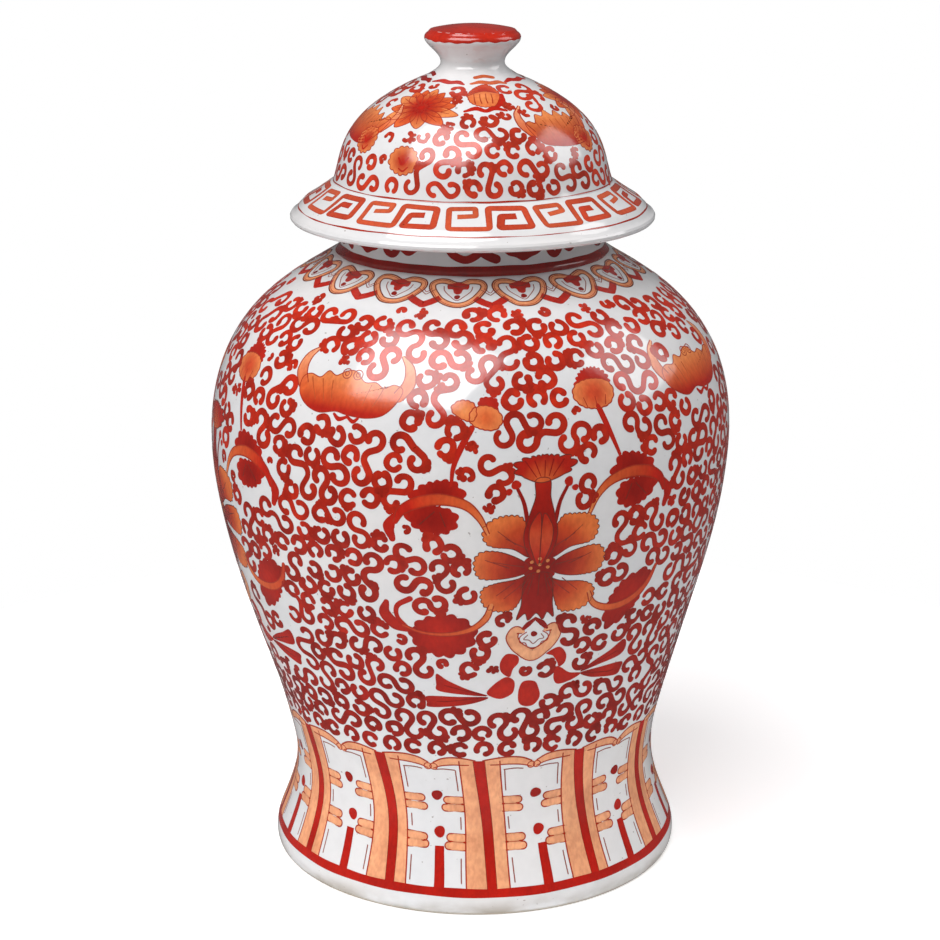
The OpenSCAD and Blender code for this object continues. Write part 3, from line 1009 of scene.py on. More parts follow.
def bud_pair(b):
    """Two buds on long stems above the lotus."""
    b.stroke([(-14.6, 285.5), (-16.8, 276), (-18.2, 266), (-18.6, 257)], (3.0, 3.4, 2.4, 1.6), RED, 0.085)
    b.blot([(-9.8, 291), (-8.9, 296), (-9.6, 300.2), (-12.6, 301.4), (-13.5, 297), (-12.4, 292.5)],
           (-11.2, 296.5), (RED, RED * 0.85, 0.0, 8.0), 0.07, scallops=12, depth=0.1)
    b.blot([(-15.0, 289), (-17.8, 291.5), (-19.0, 296), (-17.0, 299.8), (-14.2, 297.8), (-13.6, 292)],
           (-16.2, 294.5), (AMBER, ORANGE, 0.0, 8.0), 0.075, scallops=12, depth=0.08, line=LINE)
    b.blot([(-12.8, 285.2), (-15.0, 288.5), (-14.6, 294.5), (-12.2, 297.0), (-9.4, 294.8), (-8.2, 289.5),
            (-9.8, 285)], (-11.8, 290.5), (ORANGE, AMBER, 1.0, 9.0), 0.085, scallops=14, depth=0.06,
            line=LINE)
    b.stroke([(13.4, 292.5), (14.6, 284), (16.0, 275), (17.2, 267)], (3.2, 3.2, 2.4, 1.8), RED, 0.085)
    b.blot([(9.0, 303), (9.6, 308.5), (11.8, 312.6), (14.8, 312.8), (17.2, 309.5), (17.6, 304), (13.4, 302)],
           (13.3, 306.5), (RED * 0.85, RED, 0.0, 9.0), 0.07, scallops=20, depth=0.16)
    b.blot([(13.0, 291.5), (9.6, 293.5), (7.9, 299), (9.0, 304.8), (12.8, 307.2), (16.8, 305.0), (18.1, 299),
            (16.4, 293.5)], (13.0, 299.3), (rgb(212, 76, 38), AMBER, 3.0, 12.5), 0.08, scallops=18,
            depth=0.05, line=LINE)
    for a in (10.8, 13.0, 15.2):
        b.line([(a, 293.2), (a + (a - 13) * 0.25, 297.8)], (0.5, 0.4), LINE)


def pendant(b):
    """A trefoil cloud hanging under the lotus, with its ribbons and arrow leaves."""
    b.stroke([(0, 181.5), (-1.4, 178.2), (-2.6, 175.6)], (1.6, 3.0, 2.2), DEEP * 1.1, 0.08)
    b.stroke([(0, 181.5), (1.6, 178.4), (2.9, 175.2)], (1.6, 3.2, 2.2), DEEP * 1.1, 0.08)
    path = [(-2.6, 173.6), (-4.2, 174.8), (-5.1, 170.6), (-4.2, 165.8), (-2.7, 162.0), (0.1, 158.6),
            (2.8, 162.0), (4.3, 165.8), (5.2, 170.8), (4.3, 175.0), (2.8, 173.8)]
    b.edged(path, (2.4, 5.0, 6.2, 6.0, 6.4, 7.6, 6.4, 6.0, 6.2, 5.0, 2.4), PEACH, lift=0.075, n=64)
    b.stroke([(-1.8, 173.2), (-3.2, 170.4), (-3.1, 167.0), (-1.9, 166.4), (-1.3, 163.8), (0.1, 162.9),
              (1.5, 163.8), (2.1, 166.4), (3.3, 167.0), (3.4, 170.4), (2.0, 173.2)], 0.55, LINE, 0.1, n=48,
              jitter=0.1)
    b.stroke([(-1.5, 171.4), (-2.3, 168.8), (-1.0, 168.0), (0.1, 165.6), (1.2, 168.0), (2.5, 168.8),
              (1.7, 171.4)], 0.5, GREY_LINE, 0.1, n=30, jitter=0.1)
    b.dot(0.0, 171.8, 1.7, DEEP, 0.11)
    glow = (RED * 1.12, RED * 0.92, 0.0, 9.0)
    b.blot([(-3.4, 158.5), (-6.0, 160.4), (-7.5, 155), (-7.2, 148.5), (-5.2, 145.4), (-4.2, 150.5),
            (-3.0, 154.5)], (-5.4, 153.5), glow, 0.075)
    b.blot([(-3.9, 142.5), (-6.0, 145.3), (-9.0, 140.5), (-10.6, 134.8), (-7.6, 131.2), (-4.6, 133.8),
            (-3.7, 138)], (-6.6, 138), glow, 0.08)
    b.blot([(3.6, 158.6), (6.6, 161.4), (8.6, 157), (8.9, 151.5), (7.4, 148.4), (6.4, 152.5), (5.0, 156.5)],
           (7.0, 155), glow, 0.075)
    b.blot([(6.4, 148.6), (7.9, 147.8), (10.4, 143.8), (13.6, 142.0), (11.0, 138.6), (7.6, 137.2),
            (6.2, 142)], (8.8, 142.5), glow, 0.08)
    b.blot([(-1.6, 141.8), (-2.6, 136), (-2.7, 128.5), (-0.8, 125.3), (1.6, 125.8), (2.9, 130.5), (2.4, 137),
            (1.2, 141.2)], (0.1, 133.5), glow, 0.08)
    dart = (RED, DEEP * 1.12, 0.0, 15.0)
    for pts, centre in (([(-10.6, 133.6), (-15.5, 138), (-20.0, 143.5), (-22.6, 147.4), (-22.9, 141),
                          (-22.6, 136.8), (-17, 134.6)], (-19.3, 139.2)),
                        ([(-10.6, 132.6), (-17, 133.0), (-25.6, 132.2), (-25.8, 128.5), (-25.4, 125.4),
                          (-18, 126.8), (-13, 129.5)], (-20.5, 129.6)),
                        ([(13.4, 142.8), (17, 148), (21.5, 152.5), (25.4, 157), (26.5, 152.5), (25.2, 147.5),
                          (19, 144.6)], (21.8, 149.3)),
                        ([(13.4, 141.8), (19, 142.8), (26.4, 142.5), (26.6, 138.0), (25.4, 134.2),
                          (20, 135.8), (16, 138.4)], (21.4, 138.9))):
        b.blot(pts, centre, dart, 0.08)
        far = max(pts, key=lambda p: abs(p[0]))
        b.line([(pts[0][0] * 0.96 + centre[0] * 0.04, pts[0][1]), centre,
                ((far[0] + centre[0]) / 2, (far[1] + centre[1]) / 2)], (0.4, 0.6, 0.4), DEEP * 0.8)


def bat(b):
    """A bat with spread wings, centred on azimuth 0, s 298: amber scallops over a red underside."""
    body = [(-13.4, 303.5), (-13.2, 296.5), (-10.4, 290.5), (-6.6, 287.8), (-2.4, 289.6), (0.6, 288.2),
            (5.0, 287.8), (8.8, 290.2), (11.6, 296.4), (12.8, 303.5),
            (10.6, 305.6), (8.2, 303.6), (6.0, 306.4), (3.4, 306.0), (0.6, 311.0), (-1.8, 310.6),
            (-4.2, 307.6), (-6.6, 309.4), (-8.4, 305.4), (-11.2, 306.2)]
    b.bat(body, 130, (0, 298), 17.0, (RED, rgb(226, 92, 34)), 0.55,
          ((0.2, 3.0), (0.4, 3.2), (0.6, 3.2), (0.8, 3.0), (1.0, 0.5)))
    b.edged([(-12.6, 300), (-14.4, 307), (-14.0, 315), (-11.9, 320.6)], (6.0, 6.6, 4.6, 1.2),
            np.array([ORANGE, PEACH]), lift=0.082)
    b.edged([(11.9, 300), (13.8, 307), (13.4, 315), (11.3, 321.2)], (6.0, 6.4, 4.6, 1.2),
            np.array([ORANGE, PEACH]), lift=0.082)
    for c in (-10.6, -7.6, -4.8, 5.2, 8.4):
        b.line([(c, 304.5), (c * 0.86, 298.5), (c * 0.75, 293.5)], (0.7, 0.5, 0.3), ORANGE * 0.7)
    for c in (-1.6, 1.3):
        t = np.linspace(0, 2 * math.pi, 15)
        b.line([(c + 1.15 * math.cos(v), 309.2 + 2.6 * math.sin(v)) for v in t], 0.55, LINE, 0.12, n=30,
               jitter=0.05)
        b.line([(c + 0.5 * math.cos(v), 309.2 + 1.2 * math.sin(v)) for v in t], 0.45, LINE, 0.12, n=20,
               jitter=0.05)
    b.stroke([(-2.5, 288), (-1.2, 285.6), (0.6, 287.0)], (1.5, 2.4, 1.5), RED, 0.08)
    b.stroke([(0.6, 287.6), (2.2, 285.4), (3.4, 287.2)], (1.5, 2.2, 1.4), RED, 0.08)


ON_JAR = Claimed(JAR)


def paint_flowers():
    """Four lotus sprays and the four bats between their shoulders."""
    for k in range(4):
        film = Film(JAR)
        b = Brush(film, ON_JAR, 300 + k, turn=14.7 + 90 * k)
        pendant(b)
        low_leaf_left(b)
        low_leaf_right(b)
        leaf_with_arch(b)
        leaf_with_arch(Brush(film, ON_JAR, 330 + k, turn=14.7 + 90 * k - 0.6, rise=7.5, way=-1))
        bud_pair(b)
        lotus(b)
        bat(Brush(film, ON_JAR, 360 + k, turn=-28 + 90 * k))
        film.piece(f"lotus_spray_{k + 1}_enamel", "jar")


paint_flowers()


# ---------------------------------------------------------------- scrollwork

def spread(claimed, rng, s0, s1, pitch, clear):
    """Evenly scattered curl centres (azimuth, s) between s0 and s1, clear of the claimed paint."""
    pts, skin = [], claimed.skin
    rows = max(1, round((s1 - s0) / (pitch * 0.88)))
    for j in range(rows):
        s = s0 + (j + 0.5) * (s1 - s0) / rows
        n = max(3, round(360 * skin.per_degree(s) / pitch))
        for i in range(n):
            pts.append((360 / n * (i + 0.5 * (j % 2) + rng.uniform(-0.2, 0.2)) - 180,
                        s + rng.uniform(-0.2, 0.2) * pitch))
    p = np.array(pts)
    gap, away = claimed.gap(*p.T)
    p, gap, away = (m[gap > -clear * 0.2] for m in (p, gap, away))
    for turn in range(14):
        k = skin.per_degree(p[:, 1])
        dx = wrap(p[:, None, 0] - p[None, :, 0]) * (k[:, None] + k[None, :]) / 2
        dy = p[:, None, 1] - p[None, :, 1]
        d = np.hypot(dx, dy) + np.eye(len(p)) * 1e3
        push = np.clip(pitch * 1.02 - d, 0, None) / d * 0.32
        step = np.stack([(dx * push).sum(1), (dy * push).sum(1)], 1)
        if turn % 2 == 0:
            gap, away = claimed.gap(*p.T)
        step += away * np.clip(clear - gap, 0, None)[:, None] * 0.7
        p[:, 0] += step[:, 0] / k
        p[:, 1] = np.clip(p[:, 1] + step[:, 1], s0 + clear * 0.75, s1 - clear * 0.75)
    keep = []
    for q in p[claimed.gap(*p.T)[0] > clear * 0.84]:  # drop any that still crowd an earlier one
        k = skin.per_degree(q[1])
        if all(math.hypot(wrap(q[0] - r[0]) * k, q[1] - r[1]) > pitch * 0.74 for r in keep):
            keep.append(q)
    return np.array(keep)


def tone_at(s, rng):
    """Iron red, browner low on the jar and more orange towards the shoulder."""
    t = np.clip((s - 120) / 220.0, 0, 1)
    c = rgb(150, 20, 4) * (1 - t) + rgb(190, 38, 8) * t
    return c * rng.uniform(0.84, 1.14)


def scroll(film, centres, radius, sweep, hand, width, tone, rng, bud, start=None):
    """One curling stroke that rounds each centre (azimuth, s) in turn, changing hand between them. It sweeps
    that far, in radians, round the first centre and, when there are more, round the last."""
    mid, m = centres[0], len(centres)
    k0 = film.skin.per_degree(mid[1])
    c = [(wrap(a - mid[0]) * k0, s - mid[1]) for a, s in centres]
    joins = []
    for (x0, y0), (x1, y1) in zip(c, c[1:]):
        d = math.hypot(x1 - x0, y1 - y0)
        joins.append((math.atan2(y1 - y0, x1 - x0), math.acos(min(0.96, 2 * radius / d))))
    xy = []
    for i in range(m):
        if m == 1:
            a0 = rng.uniform(0, 2 * math.pi) if start is None else start
            a1 = a0 + hand * sweep[0]
        elif i == 0:
            a1 = joins[0][0] - hand * joins[0][1]
            a0 = a1 - hand * sweep[0]
        else:
            a0 = joins[i - 1][0] + hand * joins[i - 1][1] + math.pi  # hand has already changed
            a1 = a0 + hand * sweep[1] if i == m - 1 else joins[i][0] - hand * joins[i][1]
            while hand * (a1 - a0) < 0:
                a1 += hand * 2 * math.pi
        n = max(8, int(abs(a1 - a0) / 0.20))
        t = np.linspace(0, 1, n)
        a = a0 + (a1 - a0) * t
        r = np.full(n, radius)
        if i == 0:
            r = r * (1 - 0.24 * np.clip(1 - t / 0.45, 0, 1) ** 1.5)
        if i == m - 1:
            r = r * (1 - 0.24 * np.clip((t - 0.55) / 0.45, 0, 1) ** 1.5)
        xy += list(zip(c[i][0] + r * np.cos(a), c[i][1] + r * np.sin(a)))
        hand = -hand
    xy = np.array(xy)
    n = len(xy)
    t = np.linspace(0, 1, n)
    xy += np.stack([wobble(rng, n, 0.5), wobble(rng, n, 0.5)], 1)
    w = width * (0.86 + 0.16 * np.sin(math.pi * t) + wobble(rng, n, 0.16))
    for end in (0.0, 1.0):
        w = w + width * 0.30 * np.exp(-(((t - end) * n / 3.0) ** 2)) * rng.uniform(0.2, 1.2)
    shade = 1 + wobble(rng, n, 0.34)[:, None] * np.array([1.0, 1.5, 1.5])
    lift = 0.08 + rng.uniform(-0.008, 0.008)
    film.stroke(mid[0] + xy[:, 0] / k0, mid[1] + xy[:, 1], w, tone[None, :] * shade, lift)
    for _ in range(2):
        if rng.random() < bud:
            i = rng.randrange(int(n * 0.15), int(n * 0.85))
            at, g = xy[i], xy[min(i + 1, n - 1)] - xy[i - 1]
            out = at - np.array(min(c, key=lambda q: math.hypot(at[0] - q[0], at[1] - q[1])))
            g, out = (v / max(math.hypot(*v), 1e-6) for v in (g, out))
            three_lobes(film, mid, k0, at, g, out, width / 3.2, tone, rng)


def three_lobes(film, mid, k0, at, g, out, size, tone, rng):
    """A small bud on the back of a scroll, at a point in mm from mid; g runs along and out off the scroll."""
    for along, off, radius in ((-2.0, 0.8, 1.6), (0.1, 2.0, 1.9), (2.1, 0.8, 1.55)):
        p = at + g * along * rng.uniform(0.8, 1.2) + out * off
        film.dot(mid[0] + p[0] / k0, mid[1] + p[1], radius * size * rng.uniform(0.85, 1.15),
                 tone * rng.uniform(0.92, 1.02), 0.092, seed=rng.uniform(0, 6))


def fill_with_scrolls(films, claimed, rng, s0, s1, pitch, radius, width, clear, tones, pairs, bud):
    """Scatters centres and joins neighbours into S scrolls and short chains; the rest are single hooks."""
    p = spread(claimed, rng, s0, s1, pitch, clear)
    free = set(range(len(p)))
    order = list(range(len(p)))
    rng.shuffle(order)

    def nearest(i, taken):
        k = claimed.skin.per_degree(p[i, 1])
        best, found = 1.28 * pitch, None
        for j in sorted(free - taken):
            dy = p[j, 1] - p[i, 1]
            if abs(dy) < best:
                d = math.hypot(wrap(p[j, 0] - p[i, 0]) * k, dy)
                if 1.9 * radius < d < best and rng.random() < 0.9:
                    best, found = d, j
        return found

    for i in order:
        if i not in free:
            continue
        free.discard(i)
        chain = [i]
        for chance in (pairs, 0.22):
            if rng.random() >= chance:
                break
            j = nearest(chain[-1], set(chain))
            if j is None:
                break
            chain.append(j)
            free.discard(j)
        r = radius * rng.uniform(0.94, 1.06)
        sweep = (rng.uniform(3.9, 4.8), rng.uniform(3.9, 4.8)) if len(chain) > 1 else (rng.uniform(4.5, 5.2),)
        at = [np.array([p[i, 0] + wrap(p[c, 0] - p[i, 0]), p[c, 1]]) for c in chain]
        middle = sum(at) / len(at)
        at = [tuple(middle + (q - middle) * 0.84) for q in at]
        scroll(quarter(films, p[i, 0]), at, r, sweep, rng.choice((-1, 1)), width * rng.uniform(0.9, 1.1),
               tones(p[i, 1], rng), rng, bud)
    for i in range(len(p)):
        claimed.add(p[i, 0], p[i, 1], radius + width / 2)


def quarter(films, azimuth):
    """The film, of those that share the turn, that holds this azimuth."""
    return films[int((azimuth + 180) % 360 // (360 / len(films))) % len(films)]


def paint_neck(rng):
    """Five sprays on the neck, half hidden under the brim."""
    film = Film(JAR)
    strokes = (([(-31, 392), (-28.5, 388), (-24, 386.3), (-19.5, 388.4), (-17, 392)], 4.2),
               ([(-18, 391), (-14.5, 388.2), (-11.5, 386.2)], 4.8),
               ([(12, 392), (12.6, 388), (15, 386.2), (17.8, 388), (18.4, 392)], 3.8),
               ([(20.5, 390.2), (23.5, 388.4), (26.5, 390.6)], 3.4))
    bloom = ((-8, 392), (-6.6, 388.3), (-3, 386.6), (0.4, 384.6), (4, 386.4), (7.4, 388.2), (9.4, 392),
             (0, 397))
    for c in range(-123, 237, 72):
        for pts, w in strokes:
            path = [(c + a + rng.uniform(-0.6, 0.6), s + rng.uniform(-0.3, 0.3)) for a, s in pts]
            film.stroke(*curve(path, 18), w, DEEP * rng.uniform(1.0, 1.25), 0.08)
        x, y = curve([(c + a, s + rng.uniform(-0.3, 0.3)) for a, s in bloom], 60, closed=True)
        film.patch(x, y, (c, 390.5), DEEP * 1.1, 0.08)
    film.piece("neck_cloud_enamel", "jar")


ROW_S = 97.2  # the neat row of hooks over the panels


def paint_scrolls():
    """The scrollwork between the panels and the collar of the jar, and the neat row over the panels."""
    films, rng = [Film(JAR) for _ in range(4)], random.Random(41)
    for k in range(54):
        a = -180 + 360 / 54 * (k + 0.5) + rng.uniform(-0.35, 0.35)
        start = math.radians(rng.uniform(-75, -45) if k % 2 else rng.uniform(20, 45))
        s, sweep = ROW_S + rng.uniform(-0.4, 0.4), rng.uniform(4.4, 4.9)
        scroll(quarter(films, a), [(a, s)], 4.2, (sweep,), 1, 3.4, tone_at(100, rng), rng, 0.16, start)
    for s, reach in ((ROW_S, 5.2), (357.5, 4.2)):
        ON_JAR.add(np.linspace(-180, 180, 240), np.full(240, s), reach)
    for k in range(HEADS):
        a, s = curve([(-10.0, 366), (-5.3, 358.8), (0, 353.2), (5.3, 358.8), (10.0, 366)], 14)
        ON_JAR.add(HEAD_TURN + 360 / HEADS * k + a, s, 0.5)
    fill_with_scrolls(films, ON_JAR, rng, 101.5, 358.0, 12.2, 4.35, 3.5, 5.7, tone_at, 0.45, 0.36)
    # small hooks in what gaps are left
    points = [(rng.uniform(-180, 180), rng.uniform(104, 350)) for _ in range(7000)]
    for a, s, _, size in ON_JAR.spots(*zip(*points), 3.5, lambda gap: min(gap - 0.5, 5.8)):
        if size > 3.6:
            sweep, hand, radius, width = rng.uniform(3.9, 4.9), rng.choice((-1, 1)), size - 1.5, 3.0
        else:
            sweep, hand, radius, width = rng.uniform(1.6, 3.0), 1, 2.0, 2.5
        scroll(quarter(films, a), [(a, s)], radius, (sweep,), hand, width, tone_at(s, rng), rng, 0.3)
    for k, film in enumerate(films):
        film.piece(f"scrollwork_{k + 1}_enamel", "jar")
    paint_neck(rng)


paint_scrolls()


# ---------------------------------------------------------------- the lid's borders and knob

KEYS, CAP_LOW, CAP_HIGH = 11, 146.0, 173.6
CAP_RED = rgb(190, 36, 14)


def paint_lid_border():
    """The fret round the brim between two thin rings, and the red cap of the knob."""
    film, rng = Film(LID), random.Random(21)
    band(film, 17.2, 17.9, LINE, rng, rough=0.25, cells=1, lift=0.06)
    band(film, 41.1, 41.8, LINE, rng, rough=0.2, cells=1, lift=0.06)
    key = [(-10.4, 31.2), (-4.0, 32.3), (-4.0, 37.0), (-14.2, 36.6), (-13.3, 22.9), (0.3, 22.8),
           (0.7, 37.2), (14.0, 37.0), (14.3, 23.6), (3.4, 23.6), (4.7, 31.5), (10.2, 31.5)]
    for k in range(KEYS):
        c = 5.2 + 360 / KEYS * k + rng.uniform(-0.5, 0.5)
        a, s = bent([(c + x + rng.uniform(-0.35, 0.35), y + rng.uniform(-0.35, 0.35)) for x, y in key])
        t = np.linspace(0, 1, len(a))
        width = 3.0 + 0.9 * t + wobble(rng, len(a), 0.6)
        t = t[:, None]
        tone = rgb(204, 90, 54) * (1 - t) + rgb(188, 58, 32) * t
        film.stroke(a, s, width, tone * (1 + wobble(rng, len(a), 0.25)[:, None]), 0.08, ends=CUT, edge=0.82)
    film.piece("lid_fret_enamel", "lid")
    cap, rng = Film(LID), random.Random(22)
    az = np.linspace(-180, 180, 361)
    low = CAP_LOW + ripple(az, rng, 0.22, (2, 5, 9, 23))
    rows = LID.s[(LID.s > 146.4) & (LID.s < 173.0)]
    f = (np.concatenate([[CAP_LOW], rows, [CAP_HIGH]])[None, :] - CAP_LOW) / (CAP_HIGH - CAP_LOW)
    s = low[:, None] * (1 - f) + CAP_HIGH * f
    shade = 1 + 0.08 * np.sin(np.radians(az)[:, None] * 3 + s / 4)
    cap.sheet(np.repeat(az[:, None], f.shape[1], 1), s, CAP_RED * shade[..., None], 0.08)
    a = np.linspace(-180, 180, 48, endpoint=False)
    cap.patch(a, np.full(48, 173.7), (0.0, 174.2), CAP_RED, 0.08, rings=1)
    cap.piece("knob_cap_enamel", "lid")


paint_lid_border()


# ---------------------------------------------------------------- the dome of the lid

ON_LID = Claimed(LID)


def small_lotus(b):
    """A spiky orange lotus seen from the side, centred on azimuth 0, s 94."""
    k, wide = b.film.skin.per_degree(94.0), 4.2
    for t, length, tone in ((-168, 12.5, ORANGE), (12, 12.5, ORANGE), (-140, 14, AMBER), (-15, 14, AMBER),
                            (160, 14, AMBER), (35, 13, ORANGE), (135, 13, ORANGE), (-112, 13, ORANGE),
                            (-45, 13.5, ORANGE), (-78, 12, AMBER), (62, 12, ORANGE), (88, 13, AMBER),
                            (112, 12, ORANGE)):
        a = math.radians(t)
        x, y = math.cos(a) * length * 1.55 / k, math.sin(a) * length * 1.25
        nx, ny = -math.sin(a) * wide / k, math.cos(a) * 3.9
        pts = [(0.12 * x, 94 + 0.12 * y), (0.55 * x - nx, 94 + 0.55 * y - ny),
               (x, 94 + y), (0.55 * x + nx, 94 + 0.55 * y + ny)]
        b.blot(pts, (0.5 * x, 94 + 0.5 * y), (RED * 0.95, tone, 5.0, 15.0), 0.07 + 0.001 * (abs(t) % 7),
               focus=(0, 94), line=LINE, line_width=0.45, n=40)
        b.line([(0.3 * x, 94 + 0.3 * y), (0.8 * x, 94 + 0.8 * y)], (0.5, 0.3), LINE, 0.105, n=6)
    heart = [(5.0 * math.cos(t), 94 + 4.2 * math.sin(t)) for t in np.linspace(0, 6.283, 9, endpoint=False)]
    b.blot(heart, (0, 94), (RED * 1.1, DEEP * 1.2, 0.0, 5.0), 0.095, scallops=10, depth=0.25)


def fan_bud(b):
    """A fan-shaped bud with a red cap, centred on azimuth 0, s 103."""
    b.blot([(-13, 105), (-9.5, 110.5), (-3, 114.5), (5, 115.5), (11.5, 112.5), (14.5, 107), (10, 107.5),
            (2, 109.5), (-6, 108)], (1, 110.4), (RED, ORANGE, 0.0, 12.0), 0.08, scallops=14, depth=0.06,
            line=LINE, line_width=0.5)
    b.blot([(-12, 106), (-9, 99.5), (-3, 96.5), (4, 96.0), (10, 98.5), (13.5, 106), (8, 109), (0, 110.5),
            (-8, 109)], (0.5, 103), (AMBER, ORANGE, 2.0, 11.0), 0.072, scallops=22, depth=0.06, line=LINE,
            line_width=0.5)
    for a in (-6, -2, 2, 6):
        b.line([(a, 99), (a * 1.1, 103), (a * 1.15, 107)], (0.7, 0.5, 0.4), LINE, 0.1)
    b.stroke([(8, 96), (12.5, 99.5), (15.5, 106)], (2.4, 4.2, 2.0), RED, 0.09)
    b.stroke([(-13, 92.5), (-6, 94.8), (0, 93.2), (6, 95), (13, 93)], (1.6, 3.2, 2.6, 3.2, 1.6), RED, 0.08)


def dome_bat(b):
    """The lid's bat, centred on azimuth 0, s 76."""
    body = [(-21, 82), (-18.5, 75), (-14, 69.8), (-7, 67.6), (0, 67.0), (8, 66.6), (15, 68.5), (20, 74),
            (22.5, 82), (19, 84.5), (15.5, 81.5), (12, 86.5), (8, 84.5), (4.5, 89.5), (0.5, 86), (-3.5, 90.5),
            (-7.5, 86.5), (-11.5, 88), (-14.5, 82.5), (-18, 84)]
    b.bat(body, 120, (0.5, 76.5), 19.0, (RED * 0.9, ORANGE * 0.85), 0.5,
          ((0.2, 3.0), (0.4, 3.2), (0.6, 3.2), (0.8, 2.6), (1.0, 0.5)))
    b.edged([(-18.5, 76), (-22.5, 82), (-23, 89), (-18.5, 95)], (4.5, 5.0, 3.4, 1.2),
            np.array([ORANGE, PEACH]), lift=0.082)
    b.edged([(19.5, 76), (24, 82), (24.5, 88), (21.5, 94)], (4.5, 5.0, 3.4, 1.2), np.array([ORANGE, PEACH]),
            lift=0.082)
    for c in (-14, -9, -4, 1, 6, 11, 16):
        b.line([(c, 83.5), (c * 0.9, 77.5), (c * 0.82, 71.5)], (0.7, 0.5, 0.3), ORANGE * 0.7, 0.105)


def small_bud(b):
    """A little orange bud, centred on azimuth 0, s 61."""
    b.blot([(-7.5, 61), (-5.5, 66), (-1, 68.5), (4.5, 67), (7, 62), (5, 56), (0, 53.5), (-5, 56)], (0, 61),
           (RED * 1.05, AMBER, 1.5, 8.5), 0.075, scallops=14, depth=0.13, line=LINE, line_width=0.5)
    b.line([(-2.6, 62), (0, 59.5), (2.6, 63)], (0.9, 1.6, 0.9), RED, 0.1)
    b.line([(-1.5, 57), (0.5, 55.5), (2.8, 58)], (0.7, 1.0, 0.7), RED, 0.1)


def paint_dome():
    """Three of each flower and bat round the lid, scrollwork between them and long strokes under the knob."""
    flowers = Film(LID)
    motifs = ((small_lotus, 500, -34, 0.0), (fan_bud, 510, 8, 0.0), (dome_bat, 520, 49, 0.0),
              (small_bud, 530, -31, 0.0), (small_bud, 540, -57, 8.5))
    for k in range(3):
        for motif, seed, turn, rise in motifs:
            motif(Brush(flowers, ON_LID, seed + k, turn + 120 * k, rise))
    flowers.piece("dome_flowers_enamel", "lid")
    film, rng = Film(LID), random.Random(61)
    for k in range(8):
        a = -30 + 45 * k + rng.uniform(-4, 4)
        tone = (RED, ORANGE * 0.85, RED * 1.1, DEEP * 1.2)[k % 4]
        x, y = curve([(a - 19, 117.0), (a - 9, 118.6), (a + 3, 117.4), (a + 13, 118.0), (a + 20, 116.0)], 24)
        width = np.interp(np.linspace(0, 1, 24), (0, 0.3, 0.8, 1), (1.8, 3.6, 3.4, 1.6))
        film.stroke(x, y + rng.uniform(-0.6, 0.6), width, tone, 0.08)
        ON_LID.add(x, y, 1.8)
        if k % 2:
            film.stroke(*curve([(a - 14, 122.4), (a - 2, 123.4), (a + 10, 122.2)], 14), 2.4, tone * 0.9, 0.08)
    for s, reach in ((42.0, 0.2), (121.0, 0.5)):
        ON_LID.add(np.linspace(-180, 180, 200), np.full(200, s), reach)
    tones = lambda s, rng: rgb(190, 50, 24) * rng.uniform(0.82, 1.15)
    fill_with_scrolls([film], ON_LID, rng, 43.5, 114.0, 10.9, 3.6, 2.9, 5.0, tones, 0.4, 0.35)
    az, s = ([rng.uniform(low, high) for _ in range(1800)] for low, high in ((-180, 180), (45, 114)))
    for a, s, gap, _ in ON_LID.spots(az, s, 2.9, lambda gap: 3.15):
        sweep, hand = rng.uniform(2.6, 4.4), rng.choice((-1, 1))
        scroll(film, [(a, s)], max(1.5, min(gap, 4.4) - 1.3), (sweep,), hand, 2.3, tones(s, rng), rng, 0.3)
    film.piece("dome_scroll_enamel", "lid")


paint_dome()


# ---------------------------------------------------------------- studio: camera, floor and light

CAMERA_AT, CAMERA_PITCH = (-0.00139, -1.276, 0.598), 16.7  # metres, and degrees down from level
FOCAL_PIXELS, FRAME_PIXELS, SENSOR = 2400.0, 940.0, 36.0
FLOOR_RADIUS, FLOOR_SIDES = 0.5, 96


def aim(obj, target):
    away = Vector(target) - obj.location
    obj.rotation_euler = away.to_track_quat("-Z", "Y").to_euler()


cam_data = bpy.data.cameras.new("camera")
cam_data.sensor_width = SENSOR
cam_data.lens = FOCAL_PIXELS / FRAME_PIXELS * SENSOR
camera = bpy.data.objects.new("camera", cam_data)
camera.location = CAMERA_AT
camera.rotation_euler = (math.radians(90 - CAMERA_PITCH), 0, 0)
bpy.context.scene.collection.objects.link(camera)
bpy.context.scene.camera = camera

floor_mesh = bpy.data.meshes.new("floor")
corners = [2 * math.pi * i / FLOOR_SIDES for i in range(FLOOR_SIDES)]
floor_mesh.from_pydata([(FLOOR_RADIUS * math.cos(a), FLOOR_RADIUS * math.sin(a), 0) for a in corners], [],
                       [tuple(range(FLOOR_SIDES))])
floor = bpy.data.objects.new("floor", floor_mesh)
floor_mat = bpy.data.materials.new("pale_floor")
floor_mat.use_nodes = True
nodes, links = floor_mat.node_tree.nodes, floor_mat.node_tree.links
pale = nodes["Principled BSDF"]
for name, value in (("Base Color", (0.93, 0.93, 0.93, 1)), ("Roughness", 0.9), ("Specular IOR Level", 0.0),
                    ("Emission Color", (1, 1, 1, 1)), ("Emission Strength", 0.38)):
    pale.inputs[name].default_value = value
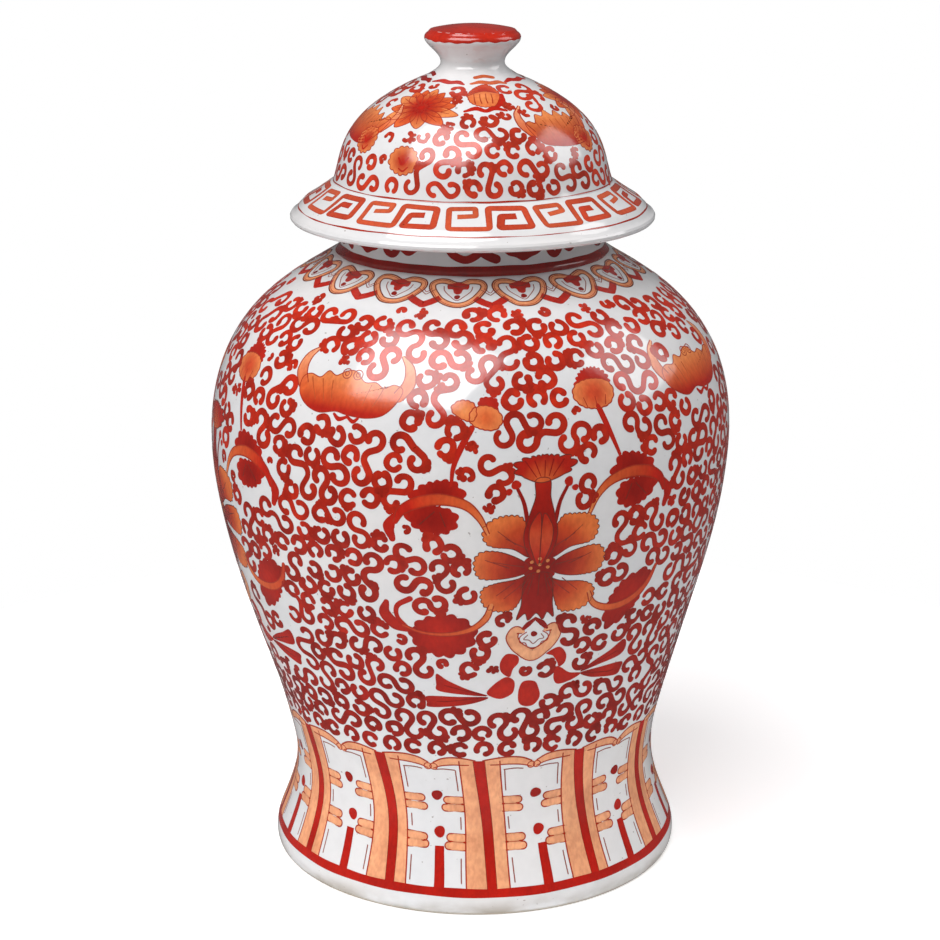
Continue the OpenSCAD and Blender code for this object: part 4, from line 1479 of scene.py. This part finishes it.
# what the glaze mirrors of the floor: far dimmer than the floor in the picture
dim_floor = nodes.new("ShaderNodeBsdfDiffuse")
dim_floor.inputs["Color"].default_value = (0.16, 0.15, 0.15, 1)
either = nodes.new("ShaderNodeMixShader")
links.new(nodes.new("ShaderNodeLightPath").outputs["Is Glossy Ray"], either.inputs[0])
links.new(pale.outputs[0], either.inputs[1])
links.new(dim_floor.outputs[0], either.inputs[2])
links.new(either.outputs[0], nodes["Material Output"].inputs["Surface"])
floor_mesh.materials.append(floor_mat)
bpy.context.scene.collection.objects.link(floor)


JAR_MIDDLE = (0, 0, 0.28)


def softbox(name, place, target, width, height, radiance, colour):
    """A rectangular lamp of that radiance, in metres, facing the target."""
    data = bpy.data.lights.new(name, "AREA")
    data.shape = "RECTANGLE"
    data.size, data.size_y = width, height
    data.energy = radiance * width * height * math.pi
    data.color = colour
    lamp = bpy.data.objects.new(name, data)
    lamp.location = place
    aim(lamp, target)
    bpy.context.scene.collection.objects.link(lamp)
    return lamp


softbox("window", (-0.70, -1.02, 2.15), JAR_MIDDLE, 2.0, 1.9, 4.3, (1.0, 0.965, 0.965))
softbox("side_window", (1.66, 0.14, 1.42), JAR_MIDDLE, 1.2, 1.2, 2.2, (1.0, 0.97, 0.97))
fill = softbox("fill", (-1.5, -0.7, 0.35), (0, 0, 0.25), 1.4, 1.4, 0.7, (1.0, 0.97, 0.965))
fill.visible_glossy = False

# the room: white where the camera sees it, softly lit elsewhere and dim in the glaze
ROOM = (0.29, 0.285, 0.29, 1.0)
world = bpy.data.worlds.new("studio")
world.use_nodes = True
bpy.context.scene.world = world
nodes, links = world.node_tree.nodes, world.node_tree.links
background = nodes["Background"]
path = nodes.new("ShaderNodeLightPath")
shade = nodes.new("ShaderNodeMix")
shade.data_type = "RGBA"
shade.inputs[6].default_value = ROOM
shade.inputs[7].default_value = (1.0, 1.0, 1.0, 1.0)
links.new(path.outputs["Is Camera Ray"], shade.inputs[0])
links.new(shade.outputs[2], background.inputs["Color"])
dim = nodes.new("ShaderNodeMapRange")
dim.inputs["To Min"].default_value, dim.inputs["To Max"].default_value = 1.0, 0.35
links.new(path.outputs["Is Glossy Ray"], dim.inputs["Value"])
links.new(dim.outputs["Result"], background.inputs["Strength"])
bpy.context.scene.view_settings.view_transform = "Standard"
